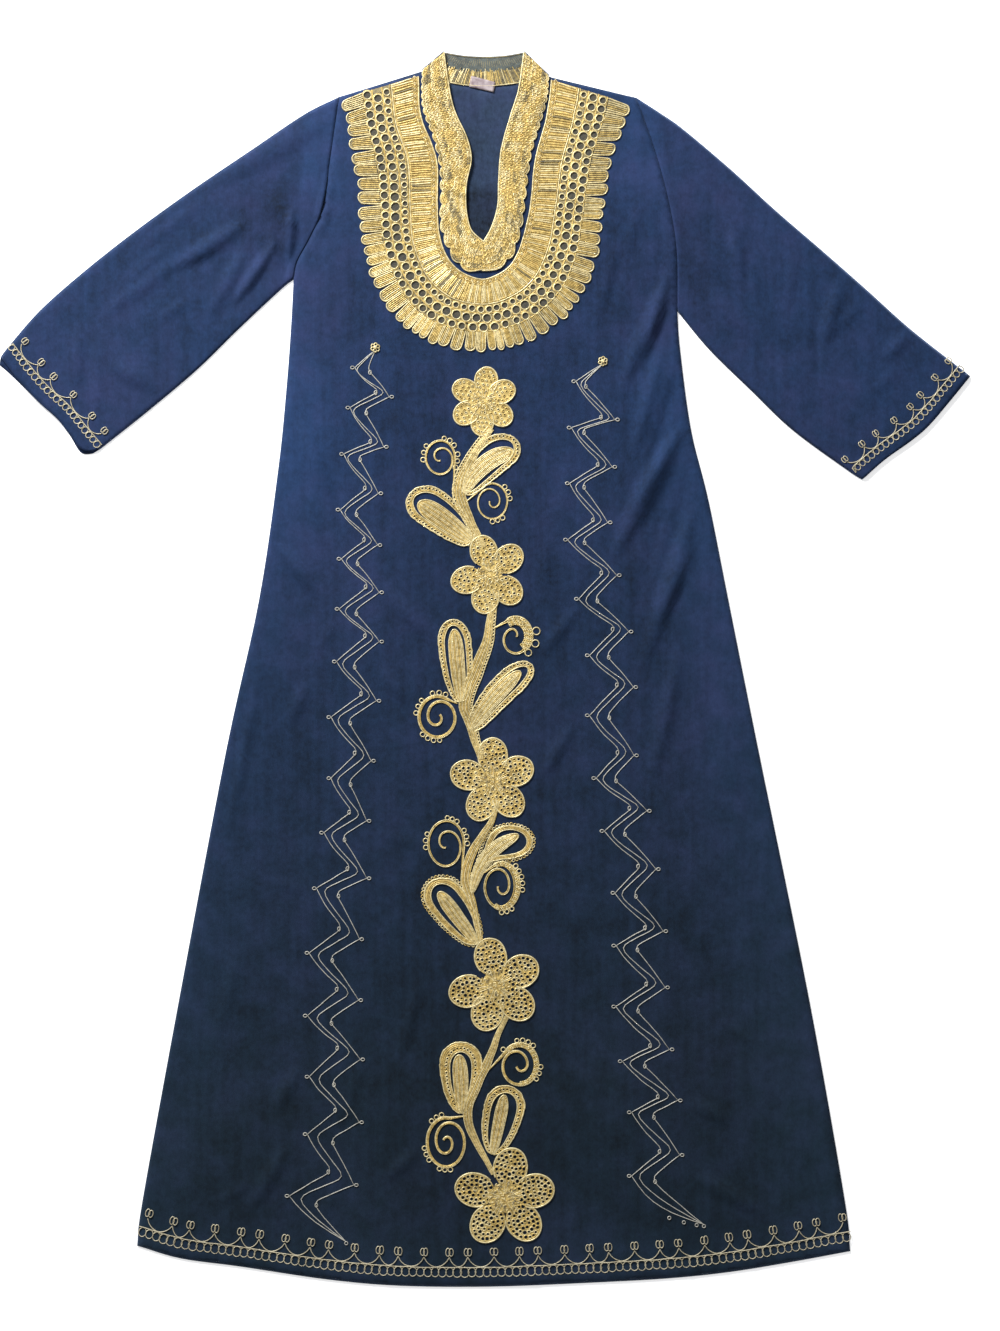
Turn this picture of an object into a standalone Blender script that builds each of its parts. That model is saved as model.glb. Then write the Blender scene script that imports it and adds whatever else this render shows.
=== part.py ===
"""Moroccan caftan laid flat with its front up.

Cloth panels, two flattened sleeves, a stand collar that runs down both sides of the
neck slit, and raised cord embroidery, each as its own closed solid.

The tables are in millimetres and become metres when a mesh is made. X runs across the
garment, Y up it from hem to collar, and Z up from the surface that it lies on.
"""

import math
from collections import namedtuple

import bmesh
import bpy
from mathutils import Vector, geometry
from mathutils.bvhtree import BVHTree

MM = 0.001
WALL = 1.2
GAP = 0.3
TRIM = 1.2
MERGE = 0.01
FRONT_LOW = WALL + GAP
FRONT_TOP = FRONT_LOW + WALL
TRIM_LOW = FRONT_TOP + GAP
TRIM_TOP = TRIM_LOW + TRIM

Spot = namedtuple("Spot", "x y")
Fold = namedtuple("Fold", "x0 y0 x1 y1 half rise")
Section = namedtuple("Section", "free_x free_y seam_x seam_y")
Station = namedtuple("Station", "outer_x outer_y inner_x inner_y")
Flower = namedtuple("Flower", "name x y petals ring petal turn")
Leaf = namedtuple("Leaf", "root_x root_y tip_x tip_y width bow slots")
Spiral = namedtuple("Spiral", "from_x from_y x y wide tall start turns cord")
Spray = namedtuple("Spray", "name stem leaves spirals")
Sleeve = namedtuple("Sleeve", "name armhole over under cuff peek")
Zigzag = namedtuple("Zigzag", "name head tail west east")

# Outline of the body
LEFT_SIDE = (
    Spot(-211, 428), Spot(-214, 373), Spot(-219, 307), Spot(-228, 219), Spot(-249, 76),
    Spot(-285, -89), Spot(-337, -364), Spot(-377, -584), Spot(-383, -634),
)
RIGHT_SIDE = (
    Spot(211, 393), Spot(214, 351), Spot(226, 263), Spot(245, 186), Spot(267, 76),
    Spot(300, -89), Spot(356, -364), Spot(395, -584), Spot(401, -640),
)
HEM = (
    Spot(-383, -634), Spot(-335, -648), Spot(-269, -657), Spot(-175, -671), Spot(-95, -678),
    Spot(5, -679), Spot(109, -675), Spot(200, -670), Spot(268, -663), Spot(336, -652), Spot(401, -640),
)
LEFT_ARMHOLE = (
    Spot(-161, 629), Spot(-171, 559), Spot(-179, 507), Spot(-192, 476), Spot(-207, 448), Spot(-211, 428),
)
RIGHT_ARMHOLE = (Spot(166, 628), Spot(186, 571), Spot(201, 516), Spot(210, 461), Spot(211, 393))
LEFT_NECK = Spot(-70, 655)
RIGHT_NECK = Spot(68, 650)
SLIT_FOOT = Spot(-1, 467)
# How far the slit's raw edge lies under the collar band, across and down
SLIT_INSET = 1.5
SLIT_DROP = 2.0

# Outlines of the sleeves, each from the armhole to the cuff or from the top fold to the underarm
LEFT_SLEEVE = Sleeve(
    "left_sleeve",
    LEFT_ARMHOLE,
    (Spot(-161, 629), Spot(-199, 610), Spot(-257, 571), Spot(-322, 527), Spot(-383, 483), Spot(-439, 439),
     Spot(-489, 395), Spot(-524, 355), Spot(-533, 343)),
    (Spot(-211, 428), Spot(-225, 417), Spot(-272, 373), Spot(-317, 329), Spot(-369, 285), Spot(-423, 242)),
    (Spot(-533, 343), Spot(-513, 317), Spot(-492, 294), Spot(-471, 275), Spot(-457, 258), Spot(-442, 240),
     Spot(-423, 242)),
    8.0,
)
RIGHT_SLEEVE = Sleeve(
    "right_sleeve",
    RIGHT_ARMHOLE,
    (Spot(166, 628), Spot(194, 610), Spot(218, 593), Spot(270, 549), Spot(318, 505), Spot(369, 461),
     Spot(419, 417), Spot(468, 373), Spot(533, 322)),
    (Spot(211, 393), Spot(246, 351), Spot(291, 307), Spot(337, 263), Spot(397, 219), Spot(414, 208)),
    (Spot(533, 322), Spot(511, 295), Spot(487, 267), Spot(467, 250), Spot(439, 230), Spot(414, 208)),
    0.0,
)
SLEEVE_ROWS = 13
SLEEVE_COLUMNS = 10
SLEEVE_SEAM = 2 * GAP

# Collar, as sections from its free edge to its seam, from the foot of the slit up each side
COLLAR_LEFT = (
    Section(-2, 470, -4, 435), Section(-16, 484, -30, 444), Section(-21, 510, -48, 481),
    Section(-20, 536, -49, 521), Section(-15, 560, -50, 553), Section(-20, 584, -58, 586),
    Section(-34, 615, -68, 613), Section(-41, 648, -70, 637), Section(-45, 678, -69, 658),
)
COLLAR_BACK = (
    Section(-45, 678, -69, 658), Section(-23, 673, -40, 644), Section(-1, 672, -1, 640),
    Section(21, 673, 39, 644), Section(42, 678, 69, 652),
)
COLLAR_RIGHT = (
    Section(42, 678, 69, 652), Section(36, 637, 67, 628), Section(27, 608, 60, 602),
    Section(17, 571, 49, 565), Section(14, 536, 43, 521), Section(13, 509, 38, 485),
    Section(6, 485, 25, 450),
)
LABEL_CORNERS = (Spot(-18, 640), Spot(9, 634), Spot(11, 645), Spot(-16, 652))
LABEL_THICK = 0.6
# Height of the collar's turn at the shoulders, and its distance from the yoke there
TURN_HEIGHT = (WALL + TRIM_LOW) / 2
TURN_GAP = 3 * GAP

# Largest folds of the front layer: foot, head, half width and rise of each soft ridge
FOLDS = (
    Fold(218, 270, 139, 120, 17, 7.0), Fold(202, 440, 162, 318, 14, 8.5), Fold(195, 356, 162, 228, 13, 5.0),
    Fold(232, 184, 170, -7, 15, 5.5), Fold(216, 32, 181, -133, 14, 4.0), Fold(102, 69, 61, 15, 11, 3.0),
    Fold(97, -58, 61, -122, 12, 3.5), Fold(-229, 141, -182, 76, 12, 4.0), Fold(-112, 92, -61, 32, 12, 3.5),
    Fold(-116, 2, -85, -41, 10, 3.0), Fold(-206, 278, -168, 179, 14, 4.5), Fold(-195, -12, -217, -65, 12, 3.0),
    Fold(-244, 22, -287, -200, 9, 2.5), Fold(-72, -337, -94, -432, 9, 2.5), Fold(-204, -435, -232, -488, 13, 3.0),
    Fold(-215, -520, -262, -600, 14, 3.5), Fold(-73, -528, -111, -562, 12, 3.0),
    Fold(223, -473, 271, -500, 12, 3.0), Fold(227, -554, 310, -601, 14, 3.5), Fold(-172, 548, -183, 474, 9, 4.0),
    Fold(-213, 508, -217, 447, 10, 6.0), Fold(-262, 492, -349, 434, 15, 5.0), Fold(-228, 473, -279, 396, 11, 5.0),
    Fold(-448, 385, -448, 305, 11, 3.0), Fold(-413, 338, -372, 307, 11, 3.0), Fold(390, 430, 372, 355, 14, 4.5),
    Fold(470, 372, 436, 340, 12, 3.5), Fold(270, 490, 283, 425, 12, 3.5), Fold(240, 420, 300, 355, 12, 3.5),
)
FOLD_STATION = 38.0

# Yoke, as stations across its whole width from one shoulder round to the other
YOKE = (
    Station(-161, 626, -74, 651), Station(-153, 588, -71, 607), Station(-147, 553, -54, 560),
    Station(-141, 505, -53, 510), Station(-137, 461, -51, 477), Station(-113, 400, -40, 449),
    Station(-69, 359, -23, 434), Station(-3, 346, -3, 428), Station(60, 363, 17, 435), Station(104, 402, 32, 449),
    Station(126, 455, 42, 474), Station(133, 510, 50, 513), Station(142, 558, 55, 560),
    Station(153, 593, 67, 604), Station(162, 620, 73, 647),
)
YOKE_STEPS = 4
YOKE_WIDTH = 80.0
# Shares of the yoke's width, from its outer edge at 0 to its inner edge at 1
FAN_CLEFT = 0.14
FAN_INNER = 0.32
RING_INNER = 0.66
HOLE_ROWS = (0.40, 0.50)
HOLE_RADIUS = 3.9
HOLE_PITCH = 13.4
HOLE_SIDES = 6
HOLE_TURN = 0.5
FAN_PITCH = 13.0
# Shares of one fan loop's width where its tip starts and ends
FAN_TIP = (0.24, 0.76)

FLOWERS = (
    Flower("flower_1", -2, 294, 6, 28, 14.5, 86), Flower("flower_2", 5, 104, 5, 32, 17, 105),
    Flower("flower_3", 8, -123, 5, 34.5, 18.5, 90), Flower("flower_4", 11, -347, 5, 38, 20, 100),
    Flower("flower_5", 21, -581, 5, 41, 21, 86),
)
PETAL_SIDES = 9
DOME = 0.8
# How far a petal's heart lies inside the ring, and the hub's edge too, in petal radii
HEART_INSET = 0.35
HUB_INSET = 0.6

SPRAYS = (
    Spray(
        "spray_1",
        (Spot(1, 259), Spot(-13, 232), Spot(-24, 202), Spot(-23, 175), Spot(-14, 153), Spot(-6, 141)),
        (Leaf(-26, 186, 35, 250, 37, 9, ""), Leaf(-10, 143, -83, 190, 38, 0, "")),
        (Spiral(-26, 178, -52, 233, 16.5, 16.5, 0, 1.6, 3.4),
         Spiral(-14, 188, 6, 184, 17.5, 17.5, 150, -1.5, 3.4)),
    ),
    Spray(
        "spray_2",
        (Spot(5, 68), Spot(1, 43), Spot(-8, 21), Spot(-19, -3), Spot(-25, -29), Spot(-23, -58), Spot(-6, -86)),
        (Leaf(-25, -36, -34, 53, 36, 0, ""), Leaf(-14, -72, 52, 6, 30, 0, "")),
        (Spiral(-2, 32, 34, 35, 18, 18, 150, -1.2, 5.0),
         Spiral(-26, -38, -53, -53, 21, 21, 60, 1.6, 3.6)),
    ),
    Spray(
        "spray_3",
        (Spot(6, -163), Spot(-6, -195), Spot(-17, -219), Spot(-20, -243), Spot(-16, -271), Spot(-4, -303)),
        (Leaf(-16, -243, 51, -187, 42, 15, "lr"), Leaf(-10, -302, -66, -241, 43, 0, "lr")),
        (Spiral(-26, -236, -42, -191, 19, 23, -30, 1.7, 3.6),
         Spiral(-10, -228, 16, -238, 19, 24, 150, -1.6, 3.6)),
    ),
    Spray(
        "spray_4",
        (Spot(15, -388), Spot(10, -415), Spot(-6, -443), Spot(-17, -474), Spot(-18, -498), Spot(-10, -520),
         Spot(5, -549)),
        (Leaf(-21, -488, -26, -410, 45, 0, "lr"), Leaf(3, -538, 33, -456, 38, 0, "lr")),
        (Spiral(-8, -436, 38, -434, 21, 21, 150, -1.6, 3.6),
         Spiral(-19, -496, -43, -520, 21, 26, 60, 1.6, 3.6)),
    ),
)
STEM_WIDTH = 10.0
LEAF_BAND = 7.0
LEAF_CORE = 5.0
LEAF_FOOT = 2.5
# Powers that set where a leaf is widest and how round its sides are
LEAF_BELLY = 1.35
LEAF_ROUND = 0.8
LEAF_SHARES = (0.0, 0.14, 0.3, 0.46, 0.62, 0.76, 0.88, 0.96)
SLOT_SHARES = (0.38, 0.5, 0.62, 0.74, 0.84)
PICOT = 3.8
PICOT_SIDES = 5
PICOT_PLACES = (0.16, 0.24, 0.32, 0.46, 0.54, 0.62)
SPIRAL_STEPS = 11
# Share of a spiral's size that it winds in by, and the power that sets how late it does
SPIRAL_WIND = 0.78
SPIRAL_LATE = 1.4

# Zigzag cords down the front: top knot, tail, and the turns on the left and on the right of each run
ZIGZAGS = (
    Zigzag(
        "zigzag_left", Spot(-121, 353), Spot(-160, -617),
        (Spot(-146, 331), Spot(-151, 287), Spot(-158, 236), Spot(-162, 175), Spot(-161, 121), Spot(-163, 66),
         Spot(-166, 8), Spot(-172, -53), Spot(-172, -120), Spot(-180, -180), Spot(-188, -241), Spot(-196, -312),
         Spot(-198, -381), Spot(-196, -448), Spot(-198, -511), Spot(-218, -579)),
        (Spot(-103, 299), Spot(-109, 244), Spot(-115, 193), Spot(-116, 136), Spot(-114, 84), Spot(-114, 30),
         Spot(-117, -35), Spot(-123, -101), Spot(-128, -167), Spot(-128, -230), Spot(-136, -297),
         Spot(-137, -364), Spot(-135, -429), Spot(-136, -498), Spot(-142, -567)),
    ),
    Zigzag(
        "zigzag_right", Spot(129, 338), Spot(236, -604),
        (Spot(97, 316), Spot(92, 265), Spot(90, 204), Spot(88, 142), Spot(100, 77), Spot(112, 15),
         Spot(112, -51), Spot(119, -120), Spot(128, -178), Spot(140, -246), Spot(141, -304), Spot(141, -371),
         Spot(148, -431), Spot(158, -487), Spot(158, -557)),
        (Spot(145, 274), Spot(142, 222), Spot(137, 161), Spot(147, 103), Spot(160, 41), Spot(165, -20),
         Spot(166, -95), Spot(180, -156), Spot(190, -220), Spot(198, -288), Spot(200, -350), Spot(205, -418),
         Spot(214, -474), Spot(216, -534)),
    ),
)
ZIGZAG_CORD = 1.8
# Share of the run's width that the middle cord and the far cord are moved over
ZIGZAG_SPREAD = (0.0, 0.34, 0.68)
ZIGZAG_WIDTH = 44.0

BORDER_BAND = 9.0
BORDER_SET_BACK = 15.0
SWAG_RISE = 25.0
SWAG_DIP = 4.0
SWAG_PITCH = 27.5
SWAG_CORD = 1.8
# How far a swag has fallen at its shoulder, and how wide it bulges there, as shares
SWAG_FALL = 0.6
SWAG_BULGE = 0.07
KNOT = 4.8
KNOT_SIDES = 5

CLOTH_COLOUR = (0.024, 0.035, 0.098)
CORD_COLOUR = (0.66, 0.48, 0.17)
LABEL_COLOUR = (0.72, 0.68, 0.66)
CLOTH_ROUGHNESS = 0.85
CORD_ROUGHNESS = 0.42
CORD_METALLIC = 0.35
LABEL_ROUGHNESS = 0.7
# Largest angle between faces that are shaded as one smooth surface, in degrees
SMOOTH_ANGLE = 40.0
# Height above every fold, from which the surface below is looked up
ABOVE = 100.0


def curve(spots, steps):
    """Smooth curve through the spots, with the given number of steps in each span."""
    places = [Vector((spot[0], spot[1])) for spot in spots]
    ends = [places[0] * 2 - places[1], *places, places[-1] * 2 - places[-2]]
    line = []
    for index in range(len(places) - 1):
        before, start, end, after = ends[index:index + 4]
        for step in range(steps):
            t = step / steps
            square = (2 * before - 5 * start + 4 * end - after) * t ** 2
            cube = (3 * start - before - 3 * end + after) * t ** 3
            line.append(0.5 * (2 * start + (end - before) * t + square + cube))
    line.append(places[-1])
    return line


def along(line, share):
    """Place on a line at a share of its length."""
    spans = [(end - start).length for start, end in zip(line, line[1:])]
    left = share * sum(spans)
    for start, end, span in zip(line, line[1:], spans):
        if left <= span:
            return start.lerp(end, left / span)
        left -= span
    return line[-1].copy()


def evenly(line, pitch):
    """Places along a line, about the pitch apart, with both ends."""
    count = max(1, round(sum((end - start).length for start, end in zip(line, line[1:])) / pitch))
    return [along(line, index / count) for index in range(count + 1)]


def sideways(line, index):
    """Unit vector to the left of the line at one of its points."""
    way = line[min(index + 1, len(line) - 1)] - line[max(index - 1, 0)]
    return Vector((-way.y, way.x)).normalized()


def ribbon(line, width):
    """Outline of a cord of the given width that follows a line."""
    left = [spot + sideways(line, index) * width / 2 for index, spot in enumerate(line)]
    right = [spot - sideways(line, index) * width / 2 for index, spot in enumerate(line)]
    return right + left[::-1]


def disc(centre, radius, sides, turn=0.0):
    """Outline of a round spot."""
    turns = (math.tau * (index / sides) + turn for index in range(sides))
    return [centre + radius * Vector((math.cos(angle), math.sin(angle))) for angle in turns]


def fold_rise(x, y):
    """Height of the front layer's folds above its flat rest at one place."""
    rise = 0.0
    for fold in FOLDS:
        foot = Vector((fold.x0, fold.y0))
        way = Vector((fold.x1, fold.y1)) - foot
        share = (Vector((x, y)) - foot).dot(way) / way.length_squared
        if 0 < share < 1:
            half = fold.half * math.sin(math.pi * share) ** 0.5
            off = abs(way.cross(Vector((x, y)) - foot)) / way.length
            if off < half:
                swell = math.sin(math.pi * share) * math.cos(math.pi / 2 * off / half) ** 2
                rise = max(rise, fold.rise * swell)
    return rise


def fold_lines(fold):
    """Crest, flank and foot lines of a fold, which the cloth's faces follow."""
    foot = Vector((fold.x0, fold.y0))
    way = Vector((fold.x1, fold.y1)) - foot
    side = Vector((-way.y, way.x)).normalized()
    count = max(4, round(way.length / FOLD_STATION))
    lines = []
    for across in (-1.0, -0.5, 0.0, 0.5, 1.0):
        line = []
        for index in range(count + 1):
            share = index / count
            half = fold.half * math.sin(math.pi * share) ** 0.5
            line.append(foot + way * share + side * half * across)
        lines.append(line)
    return lines


def counterclockwise(outline):
    """The outline in counterclockwise order."""
    area = sum(a.x * b.y - b.x * a.y for a, b in zip(outline, outline[1:] + outline[:1]))
    return list(outline) if area > 0 else list(outline)[::-1]


def triangulate(outlines, holes=(), lines=()):
    """Points and triangles that fill the outlines but not the holes, with edges along the lines."""
    points, edges, faces = [], [], []
    for outline in (*outlines, *holes):
        faces.append(list(range(len(points), len(points) + len(outline))))
        points.extend(counterclockwise(outline))
    for line in lines:
        edges.extend((len(points) + index, len(points) + index + 1) for index in range(len(line) - 1))
        points.extend(line)
    places, _, triangles, _, _, sources = geometry.delaunay_2d_cdt(points, edges, faces, 0, MERGE, True)
    inside = set(range(len(outlines)))
    kept = [
        triangle for triangle, source in zip(triangles, sources)
        if inside.intersection(source) and inside.issuperset(source)
    ]
    kept = main_piece(kept)
    used = sorted({index for triangle in kept for index in triangle})
    order = {old: new for new, old in enumerate(used)}
    return [places[index] for index in used], [[order[index] for index in triangle] for triangle in kept]


def main_piece(triangles):
    """Largest group of triangles that share edges."""
    beside = {}
    for index, triangle in enumerate(triangles):
        for start, end in zip(triangle, triangle[1:] + triangle[:1]):
            beside.setdefault((min(start, end), max(start, end)), []).append(index)
    linked = {index: set() for index in range(len(triangles))}
    for shared in beside.values():
        for index in shared:
            linked[index].update(shared)
    best, seen = [], set()
    for index in linked:
        group, waiting = [], [index]
        while waiting:
            here = waiting.pop()
            if here not in seen:
                seen.add(here)
                group.append(here)
                waiting.extend(linked[here])
        best = max(best, group, key=len)
    return [triangles[index] for index in sorted(best)]


class Ground:
    """Faceted upper surface that trim lies on."""

    def __init__(self, points, triangles, height):
        self.height = height
        spots = [Vector((point.x, point.y, height(point.x, point.y))) for point in points]
        self.tree = BVHTree.FromPolygons(spots, triangles)
        edges = {}
        for triangle in triangles:
            a, b, c = (spots[index] for index in triangle)
            normal = (b - a).cross(c - a).normalized()
            for start, end in zip(triangle, triangle[1:] + triangle[:1]):
                edges.setdefault((min(start, end), max(start, end)), []).append(normal)
        self.creases = [
            [spots[start].xy, spots[end].xy] for (start, end), normals in edges.items()
            if len(normals) == 2 and normals[0].dot(normals[1]) < 0.9999995
        ]

    def rest(self, x, y):
        """Height of the surface at one place."""
        hit = self.tree.ray_cast(Vector((x, y, ABOVE)), Vector((0, 0, -1)))[0]
        return hit.z if hit else self.height(x, y)

    def near(self, outlines):
        """Creases of the surface that may pass under the outlines."""
        west = min(spot.x for outline in outlines for spot in outline)
        east = max(spot.x for outline in outlines for spot in outline)
        south = min(spot.y for outline in outlines for spot in outline)
        north = max(spot.y for outline in outlines for spot in outline)
        return [
            crease for crease in self.creases
            if max(crease[0].x, crease[1].x) > west and min(crease[0].x, crease[1].x) < east
            and max(crease[0].y, crease[1].y) > south and min(crease[0].y, crease[1].y) < north
        ]


def material(name, colour, roughness, metallic):
    """Principled material of one piece."""
    made = bpy.data.materials.new(name)
    made.use_nodes = True
    shader = made.node_tree.nodes["Principled BSDF"]
    shader.inputs["Base Color"].default_value = (*colour, 1)
    shader.inputs["Roughness"].default_value = roughness
    shader.inputs["Metallic"].default_value = metallic
    return made


def cloth(name):
    """Navy cloth for one piece."""
    return material(name, CLOTH_COLOUR, CLOTH_ROUGHNESS, 0.0)


def cord(name):
    """Gold cord work for one piece."""
    return material(name, CORD_COLOUR, CORD_ROUGHNESS, CORD_METALLIC)


def finish(name, mesh, finish_material, parent):
    """Object of one piece, from a bmesh in millimetres."""
    bmesh.ops.scale(mesh, vec=(MM, MM, MM), verts=mesh.verts)
    bmesh.ops.recalc_face_normals(mesh, faces=mesh.faces)
    data = bpy.data.meshes.new(name)
    mesh.to_mesh(data)
    mesh.free()
    data.shade_smooth()
    data.set_sharp_from_angle(angle=math.radians(SMOOTH_ANGLE))
    data.materials.append(finish_material)
    piece = bpy.data.objects.new(name, data)
    piece.parent = parent
    bpy.context.scene.collection.objects.link(piece)
    return piece


def sheet(name, points, triangles, low, high, finish_material, parent):
    """Closed solid between two heights over a filled flat shape."""
    mesh = bmesh.new()
    spots = [mesh.verts.new((point.x, point.y, low(point.x, point.y))) for point in points]
    for triangle in triangles:
        mesh.faces.new([spots[index] for index in triangle])
    pinched = [spot for spot in spots if sum(edge.is_boundary for edge in spot.link_edges) > 2]
    if pinched:
        raise ValueError(f"{name} meets itself at a point: {pinched[0].co[:]}")
    grown = bmesh.ops.extrude_face_region(mesh, geom=mesh.faces[:])
    for item in grown["geom"]:
        if isinstance(item, bmesh.types.BMVert):
            item.co.z = high(item.co.x, item.co.y)
    return finish(name, mesh, finish_material, parent)


def trim(name, outlines, holes, ground, parent, crown=None):
    """Raised cord work that lies on a panel, made from the panel's own surface."""
    points, triangles = triangulate(outlines, holes, ground.near(outlines))
    swell = crown or (lambda x, y: 0.0)
    return sheet(
        name, points, triangles,
        lambda x, y: ground.rest(x, y) + GAP,
        lambda x, y: ground.rest(x, y) + GAP + TRIM + swell(x, y),
        cord(name), parent,
    )


def armhole_line(spots):
    """Armhole at the stations that panel and sleeve share, from shoulder to underarm."""
    line = curve(spots, 6)
    return [along(line, index / SLEEVE_COLUMNS) for index in range(SLEEVE_COLUMNS + 1)]


def slit_side(sections, way):
    """Edge of the panel under one side of the collar, from the neck down."""
    return [Vector((section.free_x + way * SLIT_INSET, section.free_y - SLIT_DROP)) for section in sections]


def body_outline(neck):
    """Outline of a body panel, counterclockwise from the left end of the hem."""
    outline = curve(HEM, 2)[:-1] + curve(RIGHT_SIDE, 2)[::-1][:-1] + armhole_line(RIGHT_ARMHOLE)[::-1]
    outline += neck
    return outline + armhole_line(LEFT_ARMHOLE)[:-1] + curve(LEFT_SIDE, 2)[:-1]


def front_neck():
    """Neck and slit of the front, from the right shoulder to the left."""
    right = slit_side(COLLAR_RIGHT[1:], 1)
    left = slit_side(COLLAR_LEFT[1:-1], -1)
    foot = Vector((SLIT_FOOT.x, SLIT_FOOT.y))
    return [Vector(RIGHT_NECK), *right, foot, *left, Vector(LEFT_NECK)]


def back_neck():
    """Neck edge of the back, just below the collar's seam."""
    seam = [Vector((section.seam_x, section.seam_y - 1.5 * GAP)) for section in COLLAR_BACK]
    return seam[::-1]


def build_panels(parent):
    """Back and front of the body. Returns the front's upper surface."""
    points, triangles = triangulate([body_outline(back_neck())])
    sheet("back_panel", points, triangles, lambda x, y: 0.0, lambda x, y: WALL, cloth("back_panel"), parent)
    lines = [line for fold in FOLDS for line in fold_lines(fold)]
    points, triangles = triangulate([body_outline(front_neck())], lines=lines)
    sheet(
        "front_panel", points, triangles,
        lambda x, y: FRONT_LOW + fold_rise(x, y), lambda x, y: FRONT_TOP + fold_rise(x, y),
        cloth("front_panel"), parent,
    )
    return Ground(points, triangles, lambda x, y: FRONT_TOP + fold_rise(x, y))


def sleeve_grid(sleeve):
    """Places across and along a sleeve, as rows from the armhole to the cuff."""
    head = armhole_line(sleeve.armhole)
    over, under, cuff = (curve(line, 4) for line in (sleeve.over, sleeve.under, sleeve.cuff))
    rows = []
    for row in range(SLEEVE_ROWS + 1):
        t = row / SLEEVE_ROWS
        line = []
        for column, start in enumerate(head):
            s = column / SLEEVE_COLUMNS
            end = along(cuff, s)
            corners = (head[0] * (1 - t) + cuff[0] * t) * (1 - s) + (head[-1] * (1 - t) + cuff[-1] * t) * s
            spot = start * (1 - t) + end * t + along(over, t) * (1 - s) + along(under, t) * s - corners
            if row == 0:
                spot += (end - start).normalized() * SLEEVE_SEAM
            line.append(spot)
        rows.append(line)
    return rows


def build_sleeve(sleeve, parent):
    """Flattened tube of one sleeve, open at the armhole and the cuff. Returns its upper surface."""
    rows = sleeve_grid(sleeve)
    mesh = bmesh.new()
    rings = []
    for row, line in enumerate(rows):
        inset = [spot.copy() for spot in line]
        inset[0] += (line[1] - line[0]).normalized() * WALL
        inset[-1] += (line[-2] - line[-1]).normalized() * WALL
        lower = [spot.copy() for spot in line]
        if row == SLEEVE_ROWS and sleeve.peek:
            for column, spot in enumerate(lower):
                reach = sleeve.peek * abs(2 * column / SLEEVE_COLUMNS - 1) ** 3
                spot += (line[column] - rows[row - 1][column]).normalized() * reach
        inner_lower = [spot + (place - start) for spot, place, start in zip(lower, inset, line)]
        outer = [(spot.x, spot.y, FRONT_TOP + fold_rise(spot.x, spot.y)) for spot in line]
        outer += [(spot.x, spot.y, 0.0) for spot in lower[::-1]]
        inner = [(spot.x, spot.y, FRONT_LOW + fold_rise(spot.x, spot.y)) for spot in inset]
        inner += [(spot.x, spot.y, WALL) for spot in inner_lower[::-1]]
        rings.append(([mesh.verts.new(spot) for spot in outer], [mesh.verts.new(spot) for spot in inner]))
    size = len(rings[0][0])
    for (outer, inner), (next_outer, next_inner) in zip(rings, rings[1:]):
        for index in range(size):
            after = (index + 1) % size
            mesh.faces.new((outer[index], outer[after], next_outer[index]))
            mesh.faces.new((outer[after], next_outer[after], next_outer[index]))
            mesh.faces.new((inner[index], next_inner[index], inner[after]))
            mesh.faces.new((inner[after], next_inner[index], next_inner[after]))
    for outer, inner in (rings[0], rings[-1]):
        for index in range(size):
            after = (index + 1) % size
            mesh.faces.new((outer[index], outer[after], inner[after], inner[index]))
    finish(sleeve.name, mesh, cloth(sleeve.name), parent)
    width = SLEEVE_COLUMNS + 1
    points = [spot for line in rows for spot in line]
    triangles = []
    for row in range(SLEEVE_ROWS):
        for column in range(SLEEVE_COLUMNS):
            corner = row * width + column
            triangles.append([corner, corner + 1, corner + width])
            triangles.append([corner + 1, corner + width + 1, corner + width])
    return Ground(points, triangles, lambda x, y: FRONT_TOP + fold_rise(x, y)), rows


def collar_sections():
    """Sections of the collar ring as their inner and outer free and seam corners."""
    def flat(section, inner, outer):
        return [
            Vector((section.free_x, section.free_y, inner)), Vector((section.seam_x, section.seam_y, inner)),
            Vector((section.seam_x, section.seam_y, outer)), Vector((section.free_x, section.free_y, outer)),
        ]

    def turned(section, way):
        free = Vector((section.free_x, section.free_y, TURN_HEIGHT))
        seam = Vector((section.seam_x, section.seam_y, TURN_HEIGHT))
        out = (seam - free).cross(Vector((0, 0, way))).normalized()
        near, far = out * TURN_GAP, out * (TURN_GAP + WALL)
        return [free + near, seam + near, seam + far, free + far]

    sections = [flat(section, TRIM_LOW, TRIM_TOP) for section in COLLAR_LEFT]
    sections.append(turned(COLLAR_BACK[0], 1))
    sections += [flat(section, WALL, 0.0) for section in COLLAR_BACK]
    sections.append(turned(COLLAR_BACK[-1], -1))
    sections += [flat(section, TRIM_LOW, TRIM_TOP) for section in COLLAR_RIGHT]
    return sections


def build_collar(parent):
    """Stand collar: one closed ring of band down one side of the slit and up the other."""
    mesh = bmesh.new()
    rings = [[mesh.verts.new(corner) for corner in section] for section in collar_sections()]
    for ring, after in zip(rings, rings[1:] + rings[:1]):
        for index in range(4):
            turn = (index + 1) % 4
            mesh.faces.new((ring[index], ring[turn], after[turn], after[index]))
    finish("collar", mesh, cord("collar"), parent)


def build_label(parent):
    """Blank label at the back of the neck."""
    corners = [Vector((spot.x, spot.y)) for spot in LABEL_CORNERS]
    points, triangles = triangulate([corners])
    sheet(
        "neck_label", points, triangles, lambda x, y: FRONT_LOW, lambda x, y: FRONT_LOW + LABEL_THICK,
        material("neck_label", LABEL_COLOUR, LABEL_ROUGHNESS, 0.0), parent,
    )


def yoke_line(share, steps=YOKE_STEPS):
    """Line round the yoke at a share of its width, from the outer edge at 0 to the inner edge at 1."""
    outer = curve([(station.outer_x, station.outer_y) for station in YOKE], steps)
    inner = curve([(station.inner_x, station.inner_y) for station in YOKE], steps)
    return [start.lerp(end, share) for start, end in zip(outer, inner)]


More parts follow.
